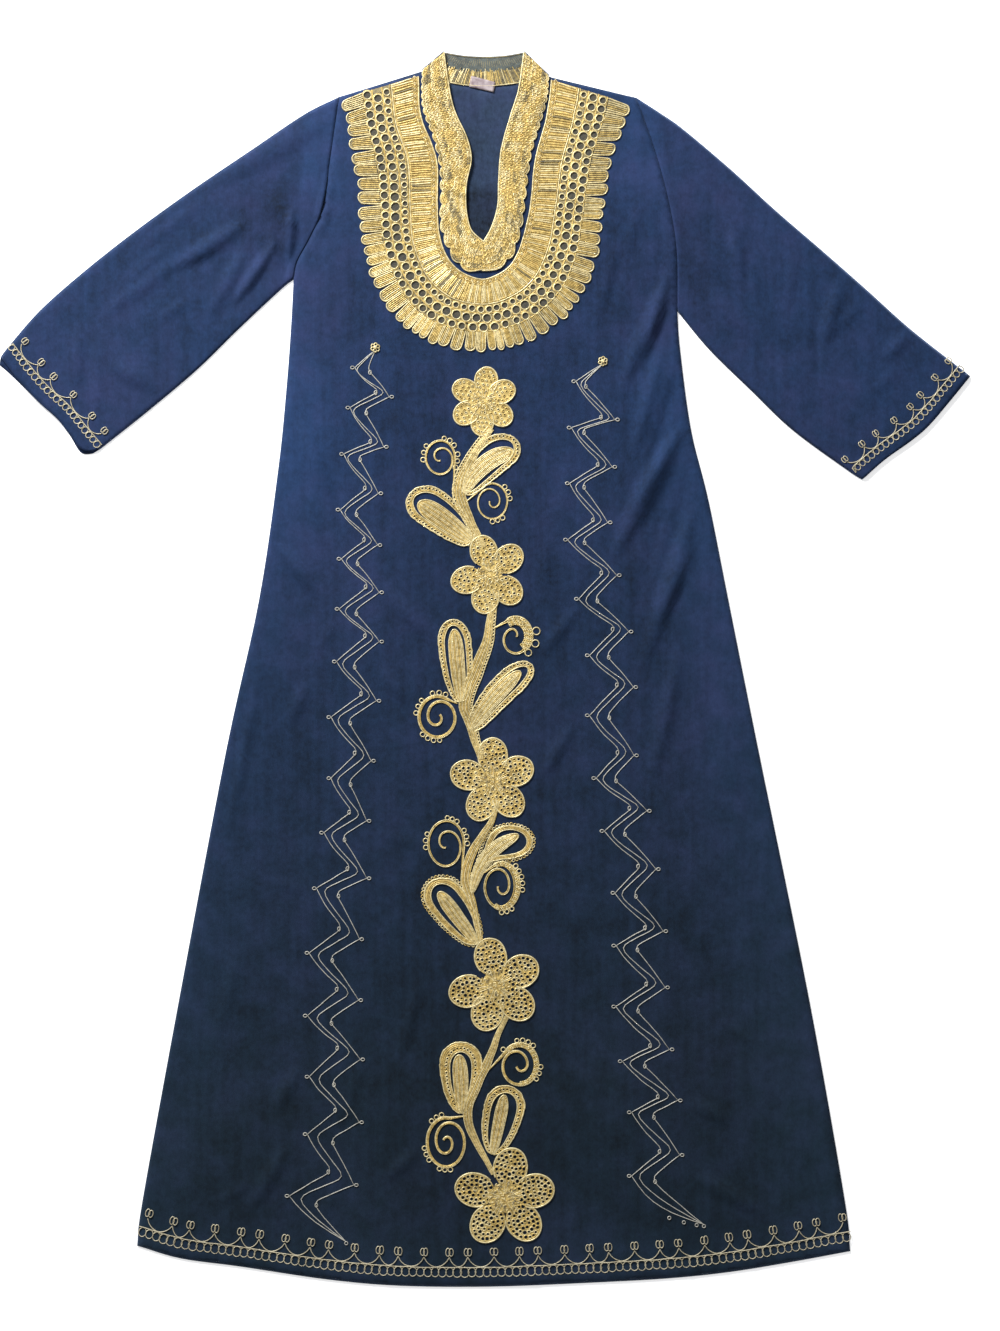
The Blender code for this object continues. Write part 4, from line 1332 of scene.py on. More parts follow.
@dataclass
class Body:
    """Front and back panels of the caftan."""

    lay: Lay
    finishes: Finishes
    wall: float = 0.8
    fine: float = 5.4
    coarse: float = 11.0
    seam_roll: float = 5.0
    armhole_roll: float = 1.4
    hem_turn: float = 14.0
    hem_step: float = 0.7
    back_wave: float = 0.12

    def __post_init__(self) -> None:
        """Work out the edge lines: hem, right and left side, right and left armhole."""
        lines = ((HEM, 6), (RIGHT_SIDE, 6), (LEFT_SIDE, 6), (RIGHT_ARMHOLE, 8), (LEFT_ARMHOLE, 8))
        self.edges = [smooth(array(line), steps) for line, steps in lines]

    def outline(self, neck: Sequence[Sequence[float]]) -> Points:
        """Outline of a panel, counterclockwise from the left end of the hem.

        Args:
            neck: places along its neck, from the right shoulder to the left one.

        Returns:
            The points.
        """
        hem, right, left, right_arm, left_arm = self.edges
        neck = np.array(neck, float)
        return np.vstack([hem[:-1], right[::-1][:-1], right_arm[::-1], neck, left_arm[:-1], left[:-1]])

    def front(self) -> bpy.types.Object:
        """Front panel, with its folds, rolled seams and turned hem."""
        right = [(row.free_x + 1.5, row.free_y - 2) for row in COLLAR_RIGHT[1:-1]]
        left = [(row.free_x - 1.5, row.free_y - 2) for row in COLLAR_LEFT[1:-1]]
        outline = self.outline([RIGHT_NECK, *right, SLIT_FOOT, *left, LEFT_NECK])
        places, triangles = fill(outline, (), lattice(outline, self.fine))
        hem, sides, arms = (
            near(places, *lines) for lines in (self.edges[:1], self.edges[1:3], self.edges[3:])
        )
        shoulders = (array((LEFT_ARMHOLE[0], LEFT_NECK)), array((RIGHT_ARMHOLE[0], RIGHT_NECK)))
        height = self.lay.height(places)
        height += self.hem_step * (1 - ease((hem - self.hem_turn) / 2.5))
        height -= 0.5 * np.exp(-((hem - self.hem_turn) / 1.4) ** 2)
        for distance, roll, low in (
            (sides, self.seam_roll, 1.5), (arms, self.armhole_roll, 2.3), (hem, 2.2, 1.6),
            (near(places, *shoulders), 4.0, 1.5),
        ):
            height = low + (height - low) * quarter(distance / roll)
        points = self.lay.placed(np.column_stack([places, height]))
        piece = mesh_piece("front", points, triangles, [self.finishes.cloth])
        thicken(piece, self.wall)
        return piece

    def back(self) -> bpy.types.Object:
        """Back panel, level underneath."""
        outline = self.outline([(row.seam_x, row.seam_y - 0.5) for row in COLLAR_BACK[::-1]])
        places, triangles = fill(outline, (), lattice(outline, self.coarse))
        top = self.wall + self.back_wave * ripples(places, 45.0, 3.0)
        points, faces = slab(places, triangles, top, np.zeros(len(places)))
        return mesh_piece("back", self.lay.placed(points), faces, [self.finishes.inner])


@dataclass
class SleeveTube:
    """Set-in sleeve, a tube that lies flat."""

    name: str
    armhole: Sequence[Spot]
    over: Sequence[Spot]
    under: Sequence[Spot]
    cuff: Sequence[Spot]
    peek: float
    lay: Lay
    finishes: Finishes
    rows: int = 92
    columns: int = 44
    wall: float = 0.7
    middle: float = 1.35
    roll: float = 5.0
    seam: float = 2.2
    cuff_turn: float = 12.0

    def grid(self) -> Points:
        """Places across and along the sleeve.

        Returns:
            Array with a row for each step from the armhole to the cuff.
        """
        head, over, under, cuff = (
            smooth(array(line)) for line in (self.armhole, self.over, self.under, self.cuff)
        )
        t = np.linspace(0, 1, self.rows + 1)
        s = np.linspace(0, 1, self.columns + 1)
        heads, cuffs = (at_lengths(line, s * gone(line)[-1]) for line in (head, cuff))
        tops, feet = (at_lengths(line, t * gone(line)[-1]) for line in (over, under))
        ts, ss = t[:, None, None], s[None, :, None]
        corners = (head[0] * (1 - ts) + cuff[0] * ts) * (1 - ss) + (head[-1] * (1 - ts) + cuff[-1] * ts) * ss
        grid = heads[None] * (1 - ts) + cuffs[None] * ts
        grid = grid + tops[:, None] * (1 - ss) + feet[:, None] * ss - corners
        grid[0] += one_long(grid[1] - grid[0]) * 0.1
        return grid

    def lower_places(self, grid: Points) -> Points:
        """Places of the lower layer, which may show a little beyond the cuff.

        Args:
            grid: places of the upper layer.

        Returns:
            Array of the same form.
        """
        share = np.abs(2 * np.linspace(0, 1, self.columns + 1) - 1) ** 3
        out = one_long(grid[-1] - grid[-2]) * (self.peek * share)[:, None]
        places = grid.copy()
        for row, part in ((-1, 1.0), (-2, 0.8), (-3, 0.5)):
            places[row] += out * part
        return places

    def made(self) -> bpy.types.Object:
        """Mesh of the sleeve."""
        grid = self.grid()
        flat = grid.reshape(-1, 2)
        edges, head, cuff = near(flat, grid[:, 0], grid[:, -1]), near(flat, grid[0]), near(flat, grid[-1])
        height = self.lay.height(flat) + 0.5 * (1 - ease((cuff - self.cuff_turn) / 2.5))
        bulge = quarter(edges / self.roll)
        upper = self.middle + (height - self.middle) * bulge
        upper = np.where(edges < 1e-6, upper, self.seam + (upper - self.seam) * quarter(head / 1.4 + 0.2))
        over = np.dstack([grid, upper.reshape(grid.shape[:2])])
        under = np.dstack([self.lower_places(grid), (self.middle * (1 - bulge)).reshape(grid.shape[:2])])
        points = np.hstack([over, under[:, -2:0:-1]])
        ring = points.shape[1]
        faces = [
            [row * ring + index, row * ring + after, (row + 1) * ring + after, (row + 1) * ring + index]
            for row in range(self.rows) for index, after in zip(range(ring), [*range(1, ring), 0])
        ]
        piece = mesh_piece(self.name, self.lay.placed(points.reshape(-1, 3)), faces, [self.finishes.cloth])
        outward(piece)
        thicken(piece, self.wall)
        return piece


@dataclass
class Collar:
    """Stand collar down both sides of the slit, with its close stitching."""

    lay: Lay
    finishes: Finishes
    wall: float = 0.9
    raised: float = 0.3
    turn_out: float = 1.6
    scallop: float = 12.6
    scallop_depth: float = 0.11
    slit_from: float = 520.0
    curl: float = 2.2
    curl_pitch: float = 3.7
    curl_rows: int = 8
    curl_steps: int = 6
    width: float = 29.0
    crease: Fold = Fold(-54, 535, -16, 519, 8, 2.2)
    mitre: tuple[Spot, ...] = table(Spot, (-4, 469), (-10, 459), (-14, 446))

    def strip(self, rows: Sequence[Section]) -> Strip:
        """Band from its free edge at 0 to its seam at 1."""
        return Strip.through(rows, 10)

    def lobes(self, strip: Strip, low: float) -> Callable:
        """How far the outer edge swings out in lobes, larger towards the foot of the slit.

        Args:
            strip: the collar there.
            low: how far the whole edge is drawn in, as a share of the depth of a lobe.

        Returns:
            Function of the shares of the length.
        """
        count = round(strip.length / self.scallop)
        foot = 0.0 if strip.at(0.0, [0.5])[0][1] < self.slit_from else 1.0
        return lambda along: self.scallop_depth * (1.25 - 0.7 * np.abs(along - foot)) * (
            np.abs(np.sin(math.pi * np.abs(along - foot) ** 1.25 * count)) ** 0.7 - low)

    def front_level(self, places: Points) -> np.ndarray:
        """Height of the collar's front bands, which rise over the back of the neck."""
        level = self.lay.top + self.raised + 0.6 * self.lay.waves(places)
        return level + self.lay.fold_rise(self.crease, places)

    def back_level(self, places: Points) -> np.ndarray:
        """Height of the upper side of the collar behind the neck."""
        return np.full(len(places), self.wall)

    def band_cloth(self) -> bpy.types.Object:
        """Cloth of the whole collar: two front bands, the band behind the neck and the turns between."""
        pieces = [self.sheet(self.strip(rows), self.front_level) for rows in (COLLAR_LEFT, COLLAR_RIGHT)]
        pieces.append(self.sheet(self.strip(COLLAR_BACK), self.back_level))
        pieces += [self.turn(section) for section in (COLLAR_LEFT[-1], COLLAR_RIGHT[0])]
        return joined("collar_cloth", pieces)

    def sheet(self, strip: Strip, level: Ground) -> bpy.types.Object:
        """Thin sheet along a strip.

        Args:
            strip: where it lies.
            level: height of its upper side.

        Returns:
            The closed sheet.
        """
        rows, columns = max(4, round(strip.length / 4)), 8
        places = strip.at(*grid_shares(rows, columns))
        points = self.lay.placed(np.column_stack([places, level(places)]))
        piece = mesh_piece("collar_sheet", points, grid_faces(rows, columns), [self.finishes.cloth])
        thicken(piece, self.wall * 0.9)
        return piece

    def turn(self, section: Section) -> bpy.types.Object:
        """Round turn of the collar at one shoulder, from its front band down to its back band.

        Args:
            section: the collar there.

        Returns:
            The closed turn.
        """
        free, seam = np.array(section[:2], float), np.array(section[2:], float)
        out = one_long(np.array((free[1] - seam[1], seam[0] - free[0])))
        out = out if out[1] > 0 else -out
        top, low = self.lay.top + self.raised, self.wall
        points = [
            (*(free + (seam - free) * share + out * self.turn_out * math.cos(angle)),
             (top + low) / 2 + (top - low) / 2 * math.sin(angle))
            for share in np.linspace(0, 1, 9) for angle in np.linspace(math.pi / 2, -math.pi / 2, 9)
        ]
        piece = mesh_piece("collar_turn", self.lay.placed(points), grid_faces(8, 8), [self.finishes.cloth])
        thicken(piece, self.wall * 0.6, 36, (*out, 0.0))
        return piece

    def stitching(self) -> bpy.types.Object:
        """Gold stitching over the collar."""
        work = Work("collar_stitching", self.lay, self.finishes, self.front_level, 0.1)
        for side, (rows, low) in enumerate(((COLLAR_LEFT, 0.75), (COLLAR_RIGHT, 0.45))):
            strip = self.strip(rows)
            lobes = self.lobes(strip, low)
            work.band(strip, (0.02, 0.98), 0.8, Tone.GOLD, 2.5, 8, lobes)
            along = np.linspace(0, 1, round(strip.length / 1.2))
            edge = 1.0 + lobes(along)
            for row in range(self.curl_rows):
                self.curls(work, strip, (row + 0.5) / self.curl_rows, row + 10 * side, lobes)
            work.cord(strip.at(along, edge - 0.01), 0.72, Tone.PALE, 0.4)
            work.cord(strip.at(along, edge - 0.075), 0.6, Tone.GOLD, 0.6)
            work.cord(strip.line(0.02, 3.0), 0.85, Tone.PALE, 0.4)
            work.cord(strip.line(0.085, 3.0), 0.6, Tone.GOLD, 0.6)
        work.cord(smooth(array(self.mitre), 4), 0.55, Tone.DEEP, 0.9)
        return joined("collar_stitching", [work.made(), self.back_stitching()])

    def back_stitching(self) -> bpy.types.Object:
        """Gold stitches up from the seam behind the neck, with a few fine ones above them."""
        work = Work("collar_back_stitching", self.lay, self.finishes, self.back_level)
        strip = self.strip(COLLAR_BACK)
        # Grey-teal band on the collar's inner face, partly painted light where that face catches the light
        work.band(strip, (0.0, 0.5), 0.3, Tone.SLATE, 3.0, 5)
        # Bed in painted shade under the gold stitches behind the neck
        work.band(strip, (0.5, 0.97), 0.5, Tone.DEEP, 3.0, 5)
        count = round(strip.length / 1.35)
        tones = (Tone.PALE, Tone.GOLD, Tone.GOLD, Tone.DEEP, Tone.DEEP)
        for index in range(count):
            share = (index + 0.3 + 0.4 * chance(index, 6)) / count
            low, high = 0.40 + 0.16 * chance(index, 1), 0.98 - 0.05 * chance(index, 2)
            tone = pick(tones, 5, index, 3)
            work.cord(strip.at(share, np.linspace(low, high, 4)), 0.55, tone, 0.35, stray=0.5)
            if index % 2:
                start = 0.08 + 0.1 * chance(index, 8)
                work.cord(strip.at(share, np.linspace(start, start + 0.2, 3)), 0.3, Tone.DEEP, 0.0)
        work.cord(strip.line(0.04, 4.0), 0.5, Tone.DEEP, 0.0)
        work.cord(strip.line(0.97, 4.0), 0.7, Tone.PALE, 0.3)
        return work.made()

    def curls(self, work: Work, strip: Strip, middle: float, key: int, lobes: Callable) -> None:
        """One row of running loops along the collar.

        Args:
            work: piece that they belong to.
            strip: band that they run along.
            middle: share of the width that they run at.
            key: number of the row.
            lobes: how far the outer edge swings out.
        """
        count = round(strip.length / self.curl_pitch) * self.curl_steps
        number = np.arange(count)
        angle = number * math.tau / self.curl_steps + key
        size = self.curl * (1 + 0.25 * np.sin(number * 0.37 + key))
        along = np.clip(number / count + np.sin(angle) * size / strip.length, 0, 1)
        across = np.clip(middle + np.cos(angle) * size / self.width, 0.03, 0.97)
        line = strip.at(along, across * (1 + lobes(along)))
        part = 3 * self.curl_steps
        tones = (Tone.GOLD, Tone.PALE, Tone.GOLD, Tone.PALE, Tone.DEEP)
        for index, start in enumerate(range(0, count - 2, part)):
            work.cord(line[start:start + part + 1], 0.55, pick(tones, 4.45, index, key),
                      0.6 + 0.3 * chance(key, index), stray=0.8)


@dataclass
class Yoke:
    """Braid, ring lace and fan edging round the neck."""

    lay: Lay
    finishes: Finishes
    fan_inner: float = 0.295
    ring_inner: float = 0.655
    braid_inner: float = 1.0
    between: float = 2.6
    fingers: int = 51
    finger_threads: int = 5
    thread: float = 2.45
    seams: tuple[float, ...] = (0.412, 0.420, 0.540, 0.548)
    rows: tuple[RingRow, ...] = table(
        RingRow, (0.352, 3.8, 10.5, 0.0), (0.478, 4.3, 11.3, 0.5), (0.598, 2.8, 10.2, 0.2),
    )

    def __post_init__(self) -> None:
        """Work out the band from the outer edge at 0 to the inner edge at 1."""
        self.strip = Strip.through(YOKE, 12)

    def braid(self) -> bpy.types.Object:
        """Band of threads laid across it, with a chain of small loops along its inner edge."""
        work = Work("braid", self.lay, self.finishes)
        strip, outer, inner = self.strip, self.ring_inner, self.braid_inner
        work.band(strip, (outer, inner), 0.8, Tone.GOLD, 5.0, 7)
        count = round(strip.length / self.thread)
        for index in range(count):
            low = outer + 0.015 + 0.03 * chance(index, 5)
            high = inner - 0.06 - 0.03 * chance(index, 9)
            middle = index + 0.5 + 0.3 * (chance(index, 3) - 0.5)
            along = (middle + 0.4 * (chance(index, 4) - 0.5) * np.linspace(-1, 1, 6)) / count
            work.cord(strip.at(np.clip(along, 0, 1), np.linspace(low, high, 6)), 0.80,
                      pick(MIXED, 4.3, index, 2), 0.45 + 0.35 * chance(index, 8), stray=0.6)
        for index, spot in enumerate(evenly(strip.line(inner - 0.045, 2.0), 3.4)):
            work.loop(*spot, 1.15, 0.5, MIXED[index % 2], 0.9, 8, index)
        for share, radius, tone, lift in (
            (outer + 0.010, 0.75, Tone.PALE, 0.3), (outer + 0.034, 0.55, Tone.GOLD, 0.8),
            (inner - 0.072, 0.5, Tone.GOLD, 1.0), (inner - 0.020, 0.5, Tone.GOLD, 0.6),
            (inner, 0.85, Tone.PALE, 0.2),
        ):
            work.cord(strip.line(share, 4.0), radius, tone, lift, stray=0.6)
        return work.made()

    def rings(self) -> bpy.types.Object:
        """Three rows of rings on a bed that is open inside each, over a dark sheet of painted shade that
        fills the holes.
        """
        work = Work("ring_lace", self.lay, self.finishes)
        strip, outer, inner = self.strip, self.fan_inner, self.ring_inner
        spots, sizes = [], []
        for row in self.rows:
            count = round(strip.length / row.pitch)
            for index in range(count):
                share = (index + 0.5 + row.stagger) / (count + row.stagger)
                share += 0.0015 * (chance(index, row.share, 3) - 0.5)
                if not 0.006 < share < 0.994:
                    continue
                spots.append(wander(strip.at([share], row.share), 0.7)[0])
                sizes.append(row.hole * (0.86 + 0.22 * chance(index, row.share)))
                work.loop(*spots[-1], sizes[-1] + 0.75, 0.72, Tone.PALE, 0.45, 13, index)
                if chance(index, row.hole) > 0.3:
                    work.loop(*spots[-1], sizes[-1] + 1.9, 0.5, Tone.GOLD, 0.2, 11, index)
        for share in np.arange(outer + 0.03, inner - 0.02, 0.024):
            for index, spot in enumerate(wander(strip.line(share, 4.6, (0.01, 0.99)), 0.8, 5.0)):
                if np.min(np.linalg.norm(np.array(spots) - spot, axis=1) - sizes) > self.between:
                    spots.append(spot)
                    sizes.append(0.75 + 0.3 * chance(index, share))
        outline = np.vstack([strip.line(outer + 0.004, 5.0), strip.line(inner - 0.004, 5.0)[::-1]])
        spread = strip.at(np.tile(np.linspace(0.01, 0.99, 90), 3), np.repeat((0.36, 0.47, 0.58), 90))
        # Painted shade: dark sheet under the whole lace, which fills the holes of the rings
        work.bed(outline, (), 0.12, Tone.SHADE, spread)
        # Bed in painted shade between the rings
        work.bed(outline, [round_line(*spot, size + 0.1, 11, size) for spot, size in zip(spots, sizes)], 0.55)
        for share in (outer + 0.010, *self.seams, inner - 0.012):
            work.cord(strip.line(share, 4.0), 0.5, Tone.GOLD, 0.35, stray=0.9)
        return work.made()

    def fan(self) -> bpy.types.Object:
        """Filled loops with round tips round the outer edge."""
        work = Work("fan_edging", self.lay, self.finishes)
        marks = gone(self.strip.line(0.0, 2.0))
        ends = np.arange(self.fingers + 1) / self.fingers
        ends = ends + 0.0055 * np.sin(ends * 41.0) * np.sin(math.pi * ends) + 0.012 * np.sin(math.tau * ends)
        ends = np.interp(ends, marks / marks[-1], np.linspace(0, 1, len(marks)))
        for index, (start, end) in enumerate(zip(ends, ends[1:])):
            self.finger(work, (start + end) / 2, (end - start) / 2, index)
        return work.made()

    def finger(self, work: Work, middle: float, half: float, key: int) -> None:
        """One filled loop of the fan.

        Args:
            work: piece that it belongs to.
            middle: share of the length of its middle line.
            half: half its width, as such a share.
            key: its number.
        """
        tip = 0.006 + 0.035 * chance(key, 4)
        foot, shoulder = self.fan_inner - 0.004, tip + 0.06
        narrow = 0.86 + 0.07 * chance(key, 2)
        arc = np.linspace(0, math.pi, 9)
        side = np.linspace(0, 1, 5)[:-1]
        swell = 0.99 - (0.99 - narrow) * side
        along = np.concatenate([-half * swell, -half * narrow * np.cos(arc), half * swell[::-1]])
        level = foot + (shoulder - foot) * side
        across = np.concatenate([level, shoulder - (shoulder - tip) * np.sin(arc), level[::-1]])
        lean = half * 0.5 * (chance(key, 6) - 0.5)
        along = along + lean * (foot - across) / foot
        # Bed in painted shade under the threads of the finger
        work.bed(self.strip.at(np.clip(middle + along, 0, 1), across))
        inner = self.strip.at(np.clip(middle + along * 0.87, 0, 1), across + 0.007)
        work.cord(inner, 0.72, Tone.PALE, 0.35, stray=0.25)
        for thread in range(self.finger_threads):
            off = 2 * (thread + 0.5) / self.finger_threads - 1
            shares = np.linspace(foot, tip + 0.035 + 0.03 * off ** 2, 6)
            lines = middle + half * narrow * off * 0.74 + lean * (foot - shares) / foot
            tone = pick((Tone.PALE, Tone.GOLD, Tone.GOLD), 3, key, thread)
            work.cord(self.strip.at(np.clip(lines, 0, 1), shares), 0.62, tone, 0.45, stray=0.5)


@dataclass
class Flower:
    """Flower of long petals with rows of eyelets round a filled middle."""

    bloom: Bloom
    lay: Lay
    finishes: Finishes
    inset: float = 0.35
    eyelet: float = 0.00121
    eyelet_growth: float = 2.4
    eyelet_cord: float = 0.55
    eyelet_pitch: float = 5.0
    hub_share: float = 1.2
    long: float = 1.08
    broad: float = 0.91
    opening: float = math.radians(128)
    veins: int = 4

    def __post_init__(self) -> None:
        """Work out the middle and the radius of the filled part about it."""
        self.middle = np.array((self.bloom.x, self.bloom.y), float)
        self.hub = self.bloom.ring - self.bloom.petal * self.hub_share

    def made(self) -> bpy.types.Object:
        """Cords and beds of the flower."""
        work = Work(self.bloom.name + "_cords", self.lay, self.finishes)
        for index, degrees in enumerate(self.bloom.angles):
            self.petal(work, math.radians(degrees), index)
        self.tangle(work)
        return work.made()

    def around(self, angle: float, radius: float, turns: np.ndarray) -> Points:
        """Places round the middle of a petal.

        Args:
            angle: the way that the petal points.
            radius: mean distance from the middle of the petal.
            turns: angles about it, from the way that it points.

        Returns:
            Rows of x and y.
        """
        out, side = ways(angle)
        away = self.bloom.ring - self.bloom.petal * self.inset + radius * self.long * np.cos(turns)
        return self.middle + np.outer(away, out) + np.outer(radius * self.broad * np.sin(turns), side)

    def eyelets(self, angle: float, key: int) -> list[tuple[Points, float, int]]:
        """Eyelets of a petal in rows inside each other.

        Args:
            angle: the way that it points.
            key: its number.

        Returns:
            The middle, the radius and the number of each.
        """
        radius, holes = self.bloom.petal, []
        size = self.eyelet * radius ** self.eyelet_growth
        for count, row in enumerate(np.arange(radius - 4.4, -1.5, -self.eyelet_pitch).clip(0.0)):
            number = max(1, round(math.tau * row / self.eyelet_pitch))
            turns = math.tau * (np.arange(number) + 0.5 * (count % 2)) / number
            holes += [
                (spot, size * (0.72 + 0.55 * chance(index, count, key)), index)
                for index, spot in enumerate(wander(self.around(angle, row, turns), 0.9, 3.0))
                if np.linalg.norm(spot - self.middle) > self.hub + 1.0
            ]
        return holes

    def petal(self, work: Work, angle: float, key: int) -> None:
        """One petal: a bed with rows of eyelets inside a rim of two cords, and veins at its foot.

        Args:
            work: piece that it belongs to.
            angle: the way that it points.
            key: its number.
        """
        radius, holes = self.bloom.petal, self.eyelets(angle, key)
        for index, (spot, size, turn) in enumerate(holes):
            tone = Tone.PALE if chance(index, key, 7) > 0.4 else Tone.GOLD
            work.loop(*spot, size + 0.5, self.eyelet_cord, tone, 0.45 + 0.3 * chance(key, index), 8, turn)
        whole = self.around(angle, radius - 1.0, np.linspace(0, math.tau, 33)[:-1])
        edges = [round_line(*spot, size, 7, turn) for spot, size, turn in holes]
        work.bed(whole, edges, 0.6 + 0.04 * key, Tone.GOLD)
        for off, cord, tone, lift in ((0.8, 0.9, Tone.PALE, 0.2), (2.3, 0.62, Tone.GOLD, 0.5)):
            line = self.around(angle, radius - off, np.linspace(-self.opening, self.opening, 30))
            work.cord(line, cord, tone, lift, stray=0.35)
        heart = self.around(angle, 0.0, np.zeros(1))[0]
        vein = np.linspace(0.0, 1.0, 5)[:, None]
        for index in range(self.veins):
            aside = ways(angle)[1] * ((index - (self.veins - 1) / 2) * 1.4)
            line = self.middle + (heart - self.middle) * (0.15 + 0.45 * vein) + aside * (0.6 + vein)
            work.cord(line, 0.6, (Tone.GOLD, Tone.PALE)[index % 2], 0.7, stray=0.7)

    def tangle(self, work: Work) -> None:
        """Tangle of short threads on a bed over the middle of the flower.

        Args:
            work: piece that they belong to.
        """
        work.bed(round_line(*self.middle, self.hub + 1.0, 20), (), 0.85, Tone.GOLD)
        tones = (Tone.PALE, Tone.GOLD, Tone.GOLD, Tone.PALE, Tone.DEEP)
        bend = np.linspace(-1, 1, 4) * 0.6
        for index in range(int(self.hub * self.hub * 0.7)):
            out, _ = ways(math.tau * chance(index, 1))
            spot = self.middle + self.hub * math.sqrt(chance(index, 2)) * out
            turn = math.tau * chance(index, 3) + bend
            line = spot + 2.8 * np.column_stack([np.cos(turn), np.sin(turn)])
            work.cord(line, 0.55, tones[index % 5], 0.6 + 0.5 * chance(index, 4), stray=0.6)


@dataclass
class Spray:
    """Stem with two leaves and two spirals, in cords and eyelets."""

    sprig: Sprig
    lay: Lay
    finishes: Finishes
    stem_run: float = 10.0
    belly: float = 0.72
    eyelet: float = 1.0
    core_pinch: float = 0.45
    crest_end: float = 0.36
    middle_from: float = 3.0
    dots_cord: float = 2.2
    dots_edge: float = 2.3

    def made(self) -> bpy.types.Object:
        """Cords and beds of the spray."""
        work = Work(self.sprig.name + "_cords", self.lay, self.finishes)
        for leaf in self.sprig.leaves:
            self.leaf(work, leaf)
        self.stem(work)
        for curl in self.sprig.curls:
            self.curl(work, curl)
        return work.made()

    def stem(self, work: Work) -> None:
        """Cords side by side down the stem and into both flowers, with a row of small eyelets beside them.

        Args:
            work: piece that they belong to.
        """
        line = smooth(array(self.sprig.stem), 6)
        first, last = (spot + one_long(spot - by) * self.stem_run for spot, by in (line[:2], line[:-3:-1]))
        line = evenly(np.vstack([first, line, last]), 3.6)
        width = self.sprig.width * (0.45 + 0.55 * np.sin(math.pi * np.linspace(0, 1, len(line))) ** 1.6)
        side = left_of(line) * (self.sprig.dots or 1)
        half = (width / 2)[:, None]
        holes = []
        if self.sprig.dots:
            holes = [
                round_line(*(line[index] + side[index] * (width[index] / 2 + 1.0)), self.eyelet, 7, index)
                for index in range(3, len(line) - 3)
            ]
            work.cord(line + side * (half + self.dots_cord), 0.62, Tone.PALE, 0.2, stray=0.3)
        rim = half + (self.dots_edge if self.sprig.dots else 0.0)
        work.bed(np.vstack([line - side * half, (line + side * rim)[::-1]]), holes, 0.55, Tone.GOLD)
        threads = max(5, round(self.sprig.width / 1.6))
        for thread in range(threads):
            place = 2 * thread / (threads - 1) - 1
            lift = 0.75 - 0.45 * place ** 2
            work.cord(line + side * half * place * 0.93, 0.64, MIXED[thread % 2], lift, stray=0.5)
        for hole in holes:
            work.loop(*hole.mean(0), self.eyelet + 0.55, 0.5, Tone.PALE, 0.45, 8)

    def half(self, share: np.ndarray, width: float, pinch: float) -> np.ndarray:
        """Half width of a leaf that is round at its tip.

        Args:
            share: shares of its length from the root.
            width: its width.
            pinch: how slender it is towards its root.

        Returns:
            The half width at each share.
        """
        rise = np.sin(math.pi / 2 * np.clip(share / self.belly, 0, 1)) ** pinch
        tip = np.sqrt(np.clip(1 - ((share - self.belly).clip(0) / (1 - self.belly)) ** 2, 0, 1))
        return width / 2 * np.where(share < self.belly, rise, tip) + 1.2 * (1 - share) ** 2

    @staticmethod
    def place(leaf: Leaf, share: np.ndarray, across: np.ndarray) -> Points:
        """Places in a leaf.

        Args:
            leaf: the leaf.
            share: shares of its length from the root.
            across: distances to the left of its axis.

        Returns:
            Rows of x and y.
        """
        root = np.array((leaf.root_x, leaf.root_y))
        way = np.array((leaf.tip_x, leaf.tip_y)) - root
        side = np.array((-way[1], way[0])) / np.linalg.norm(way)
        off = leaf.bow * np.sin(math.pi * share ** leaf.lean) + across
        return root + np.outer(share, way) + np.outer(off, side)

    def rim_line(self, leaf: Leaf, inset: float) -> Points:
        """Line round a leaf from the right of its root to the left.

        Args:
            leaf: the leaf.
            inset: distance inside its edge.

        Returns:
            The points.
        """
        long = math.hypot(leaf.tip_x - leaf.root_x, leaf.tip_y - leaf.root_y)
        start = self.belly * 2 / math.pi * math.asin(min(1.0, 2 * inset / leaf.width) ** (1 / leaf.pinch))
        side = np.linspace(0, 1, 16) ** 1.5 * self.belly
        tip = self.belly + (1 - self.belly) * np.sin(np.linspace(0, math.pi / 2, 10)[1:])
        share = np.concatenate([side, tip])
        half = self.half(share, leaf.width - 2 * inset, leaf.pinch)
        along = start + (1 - inset / long - start) * share
        right, left = self.place(leaf, along, -half), self.place(leaf, along, half)
        return np.vstack([right, left[::-1][1:]])

    def leaf(self, work: Work, leaf: Leaf) -> None:
        """One leaf: rim with a row of eyelets in it or on its edge, a dark slot, and a filled core.

        Args:
            work: piece that it belongs to.
            leaf: the leaf.
        """
        open_edge = leaf.row < 1.0
        edge = 2.3 if open_edge else 0.8
        outer = wander(evenly(self.rim_line(leaf, edge), 2.2), 0.7, 3.0)
        inner = self.rim_line(leaf, leaf.rim)
        row = wander(evenly(self.rim_line(leaf, leaf.row), 4.0)[1:-1], 0.5, 3.0)
        holes = [round_line(*spot, self.eyelet, 7, index) for index, spot in enumerate(row)]
        work.bed(np.vstack([outer, inner[::-1]]), [] if open_edge else holes, 0.6, Tone.GOLD)
        for index, spot in enumerate(row):
            tone = Tone.PALE if chance(index, leaf.width) > 0.35 else Tone.GOLD
            work.loop(*spot, self.eyelet + 0.6, 0.52, tone, 0.1 if open_edge else 0.45, 8, index)
        work.cord(outer, 0.8, Tone.PALE, 0.15, stray=0.2)
        for inset in np.arange(leaf.rim - 1.7, edge + 1.2, -1.7):
            if abs(inset - leaf.row) > 1.9:
                work.cord(evenly(self.rim_line(leaf, inset), 3.2), 0.62, Tone.GOLD, 0.55, stray=0.5)
        work.cord(evenly(inner, 3.0), 0.72, Tone.PALE, 0.3, stray=0.3)
        self.core(work, leaf._replace(
            tip_x=leaf.core_x, tip_y=leaf.core_y, width=leaf.core_width, bow=leaf.core_bow,
            pinch=self.core_pinch, lean=1.0,
        ))

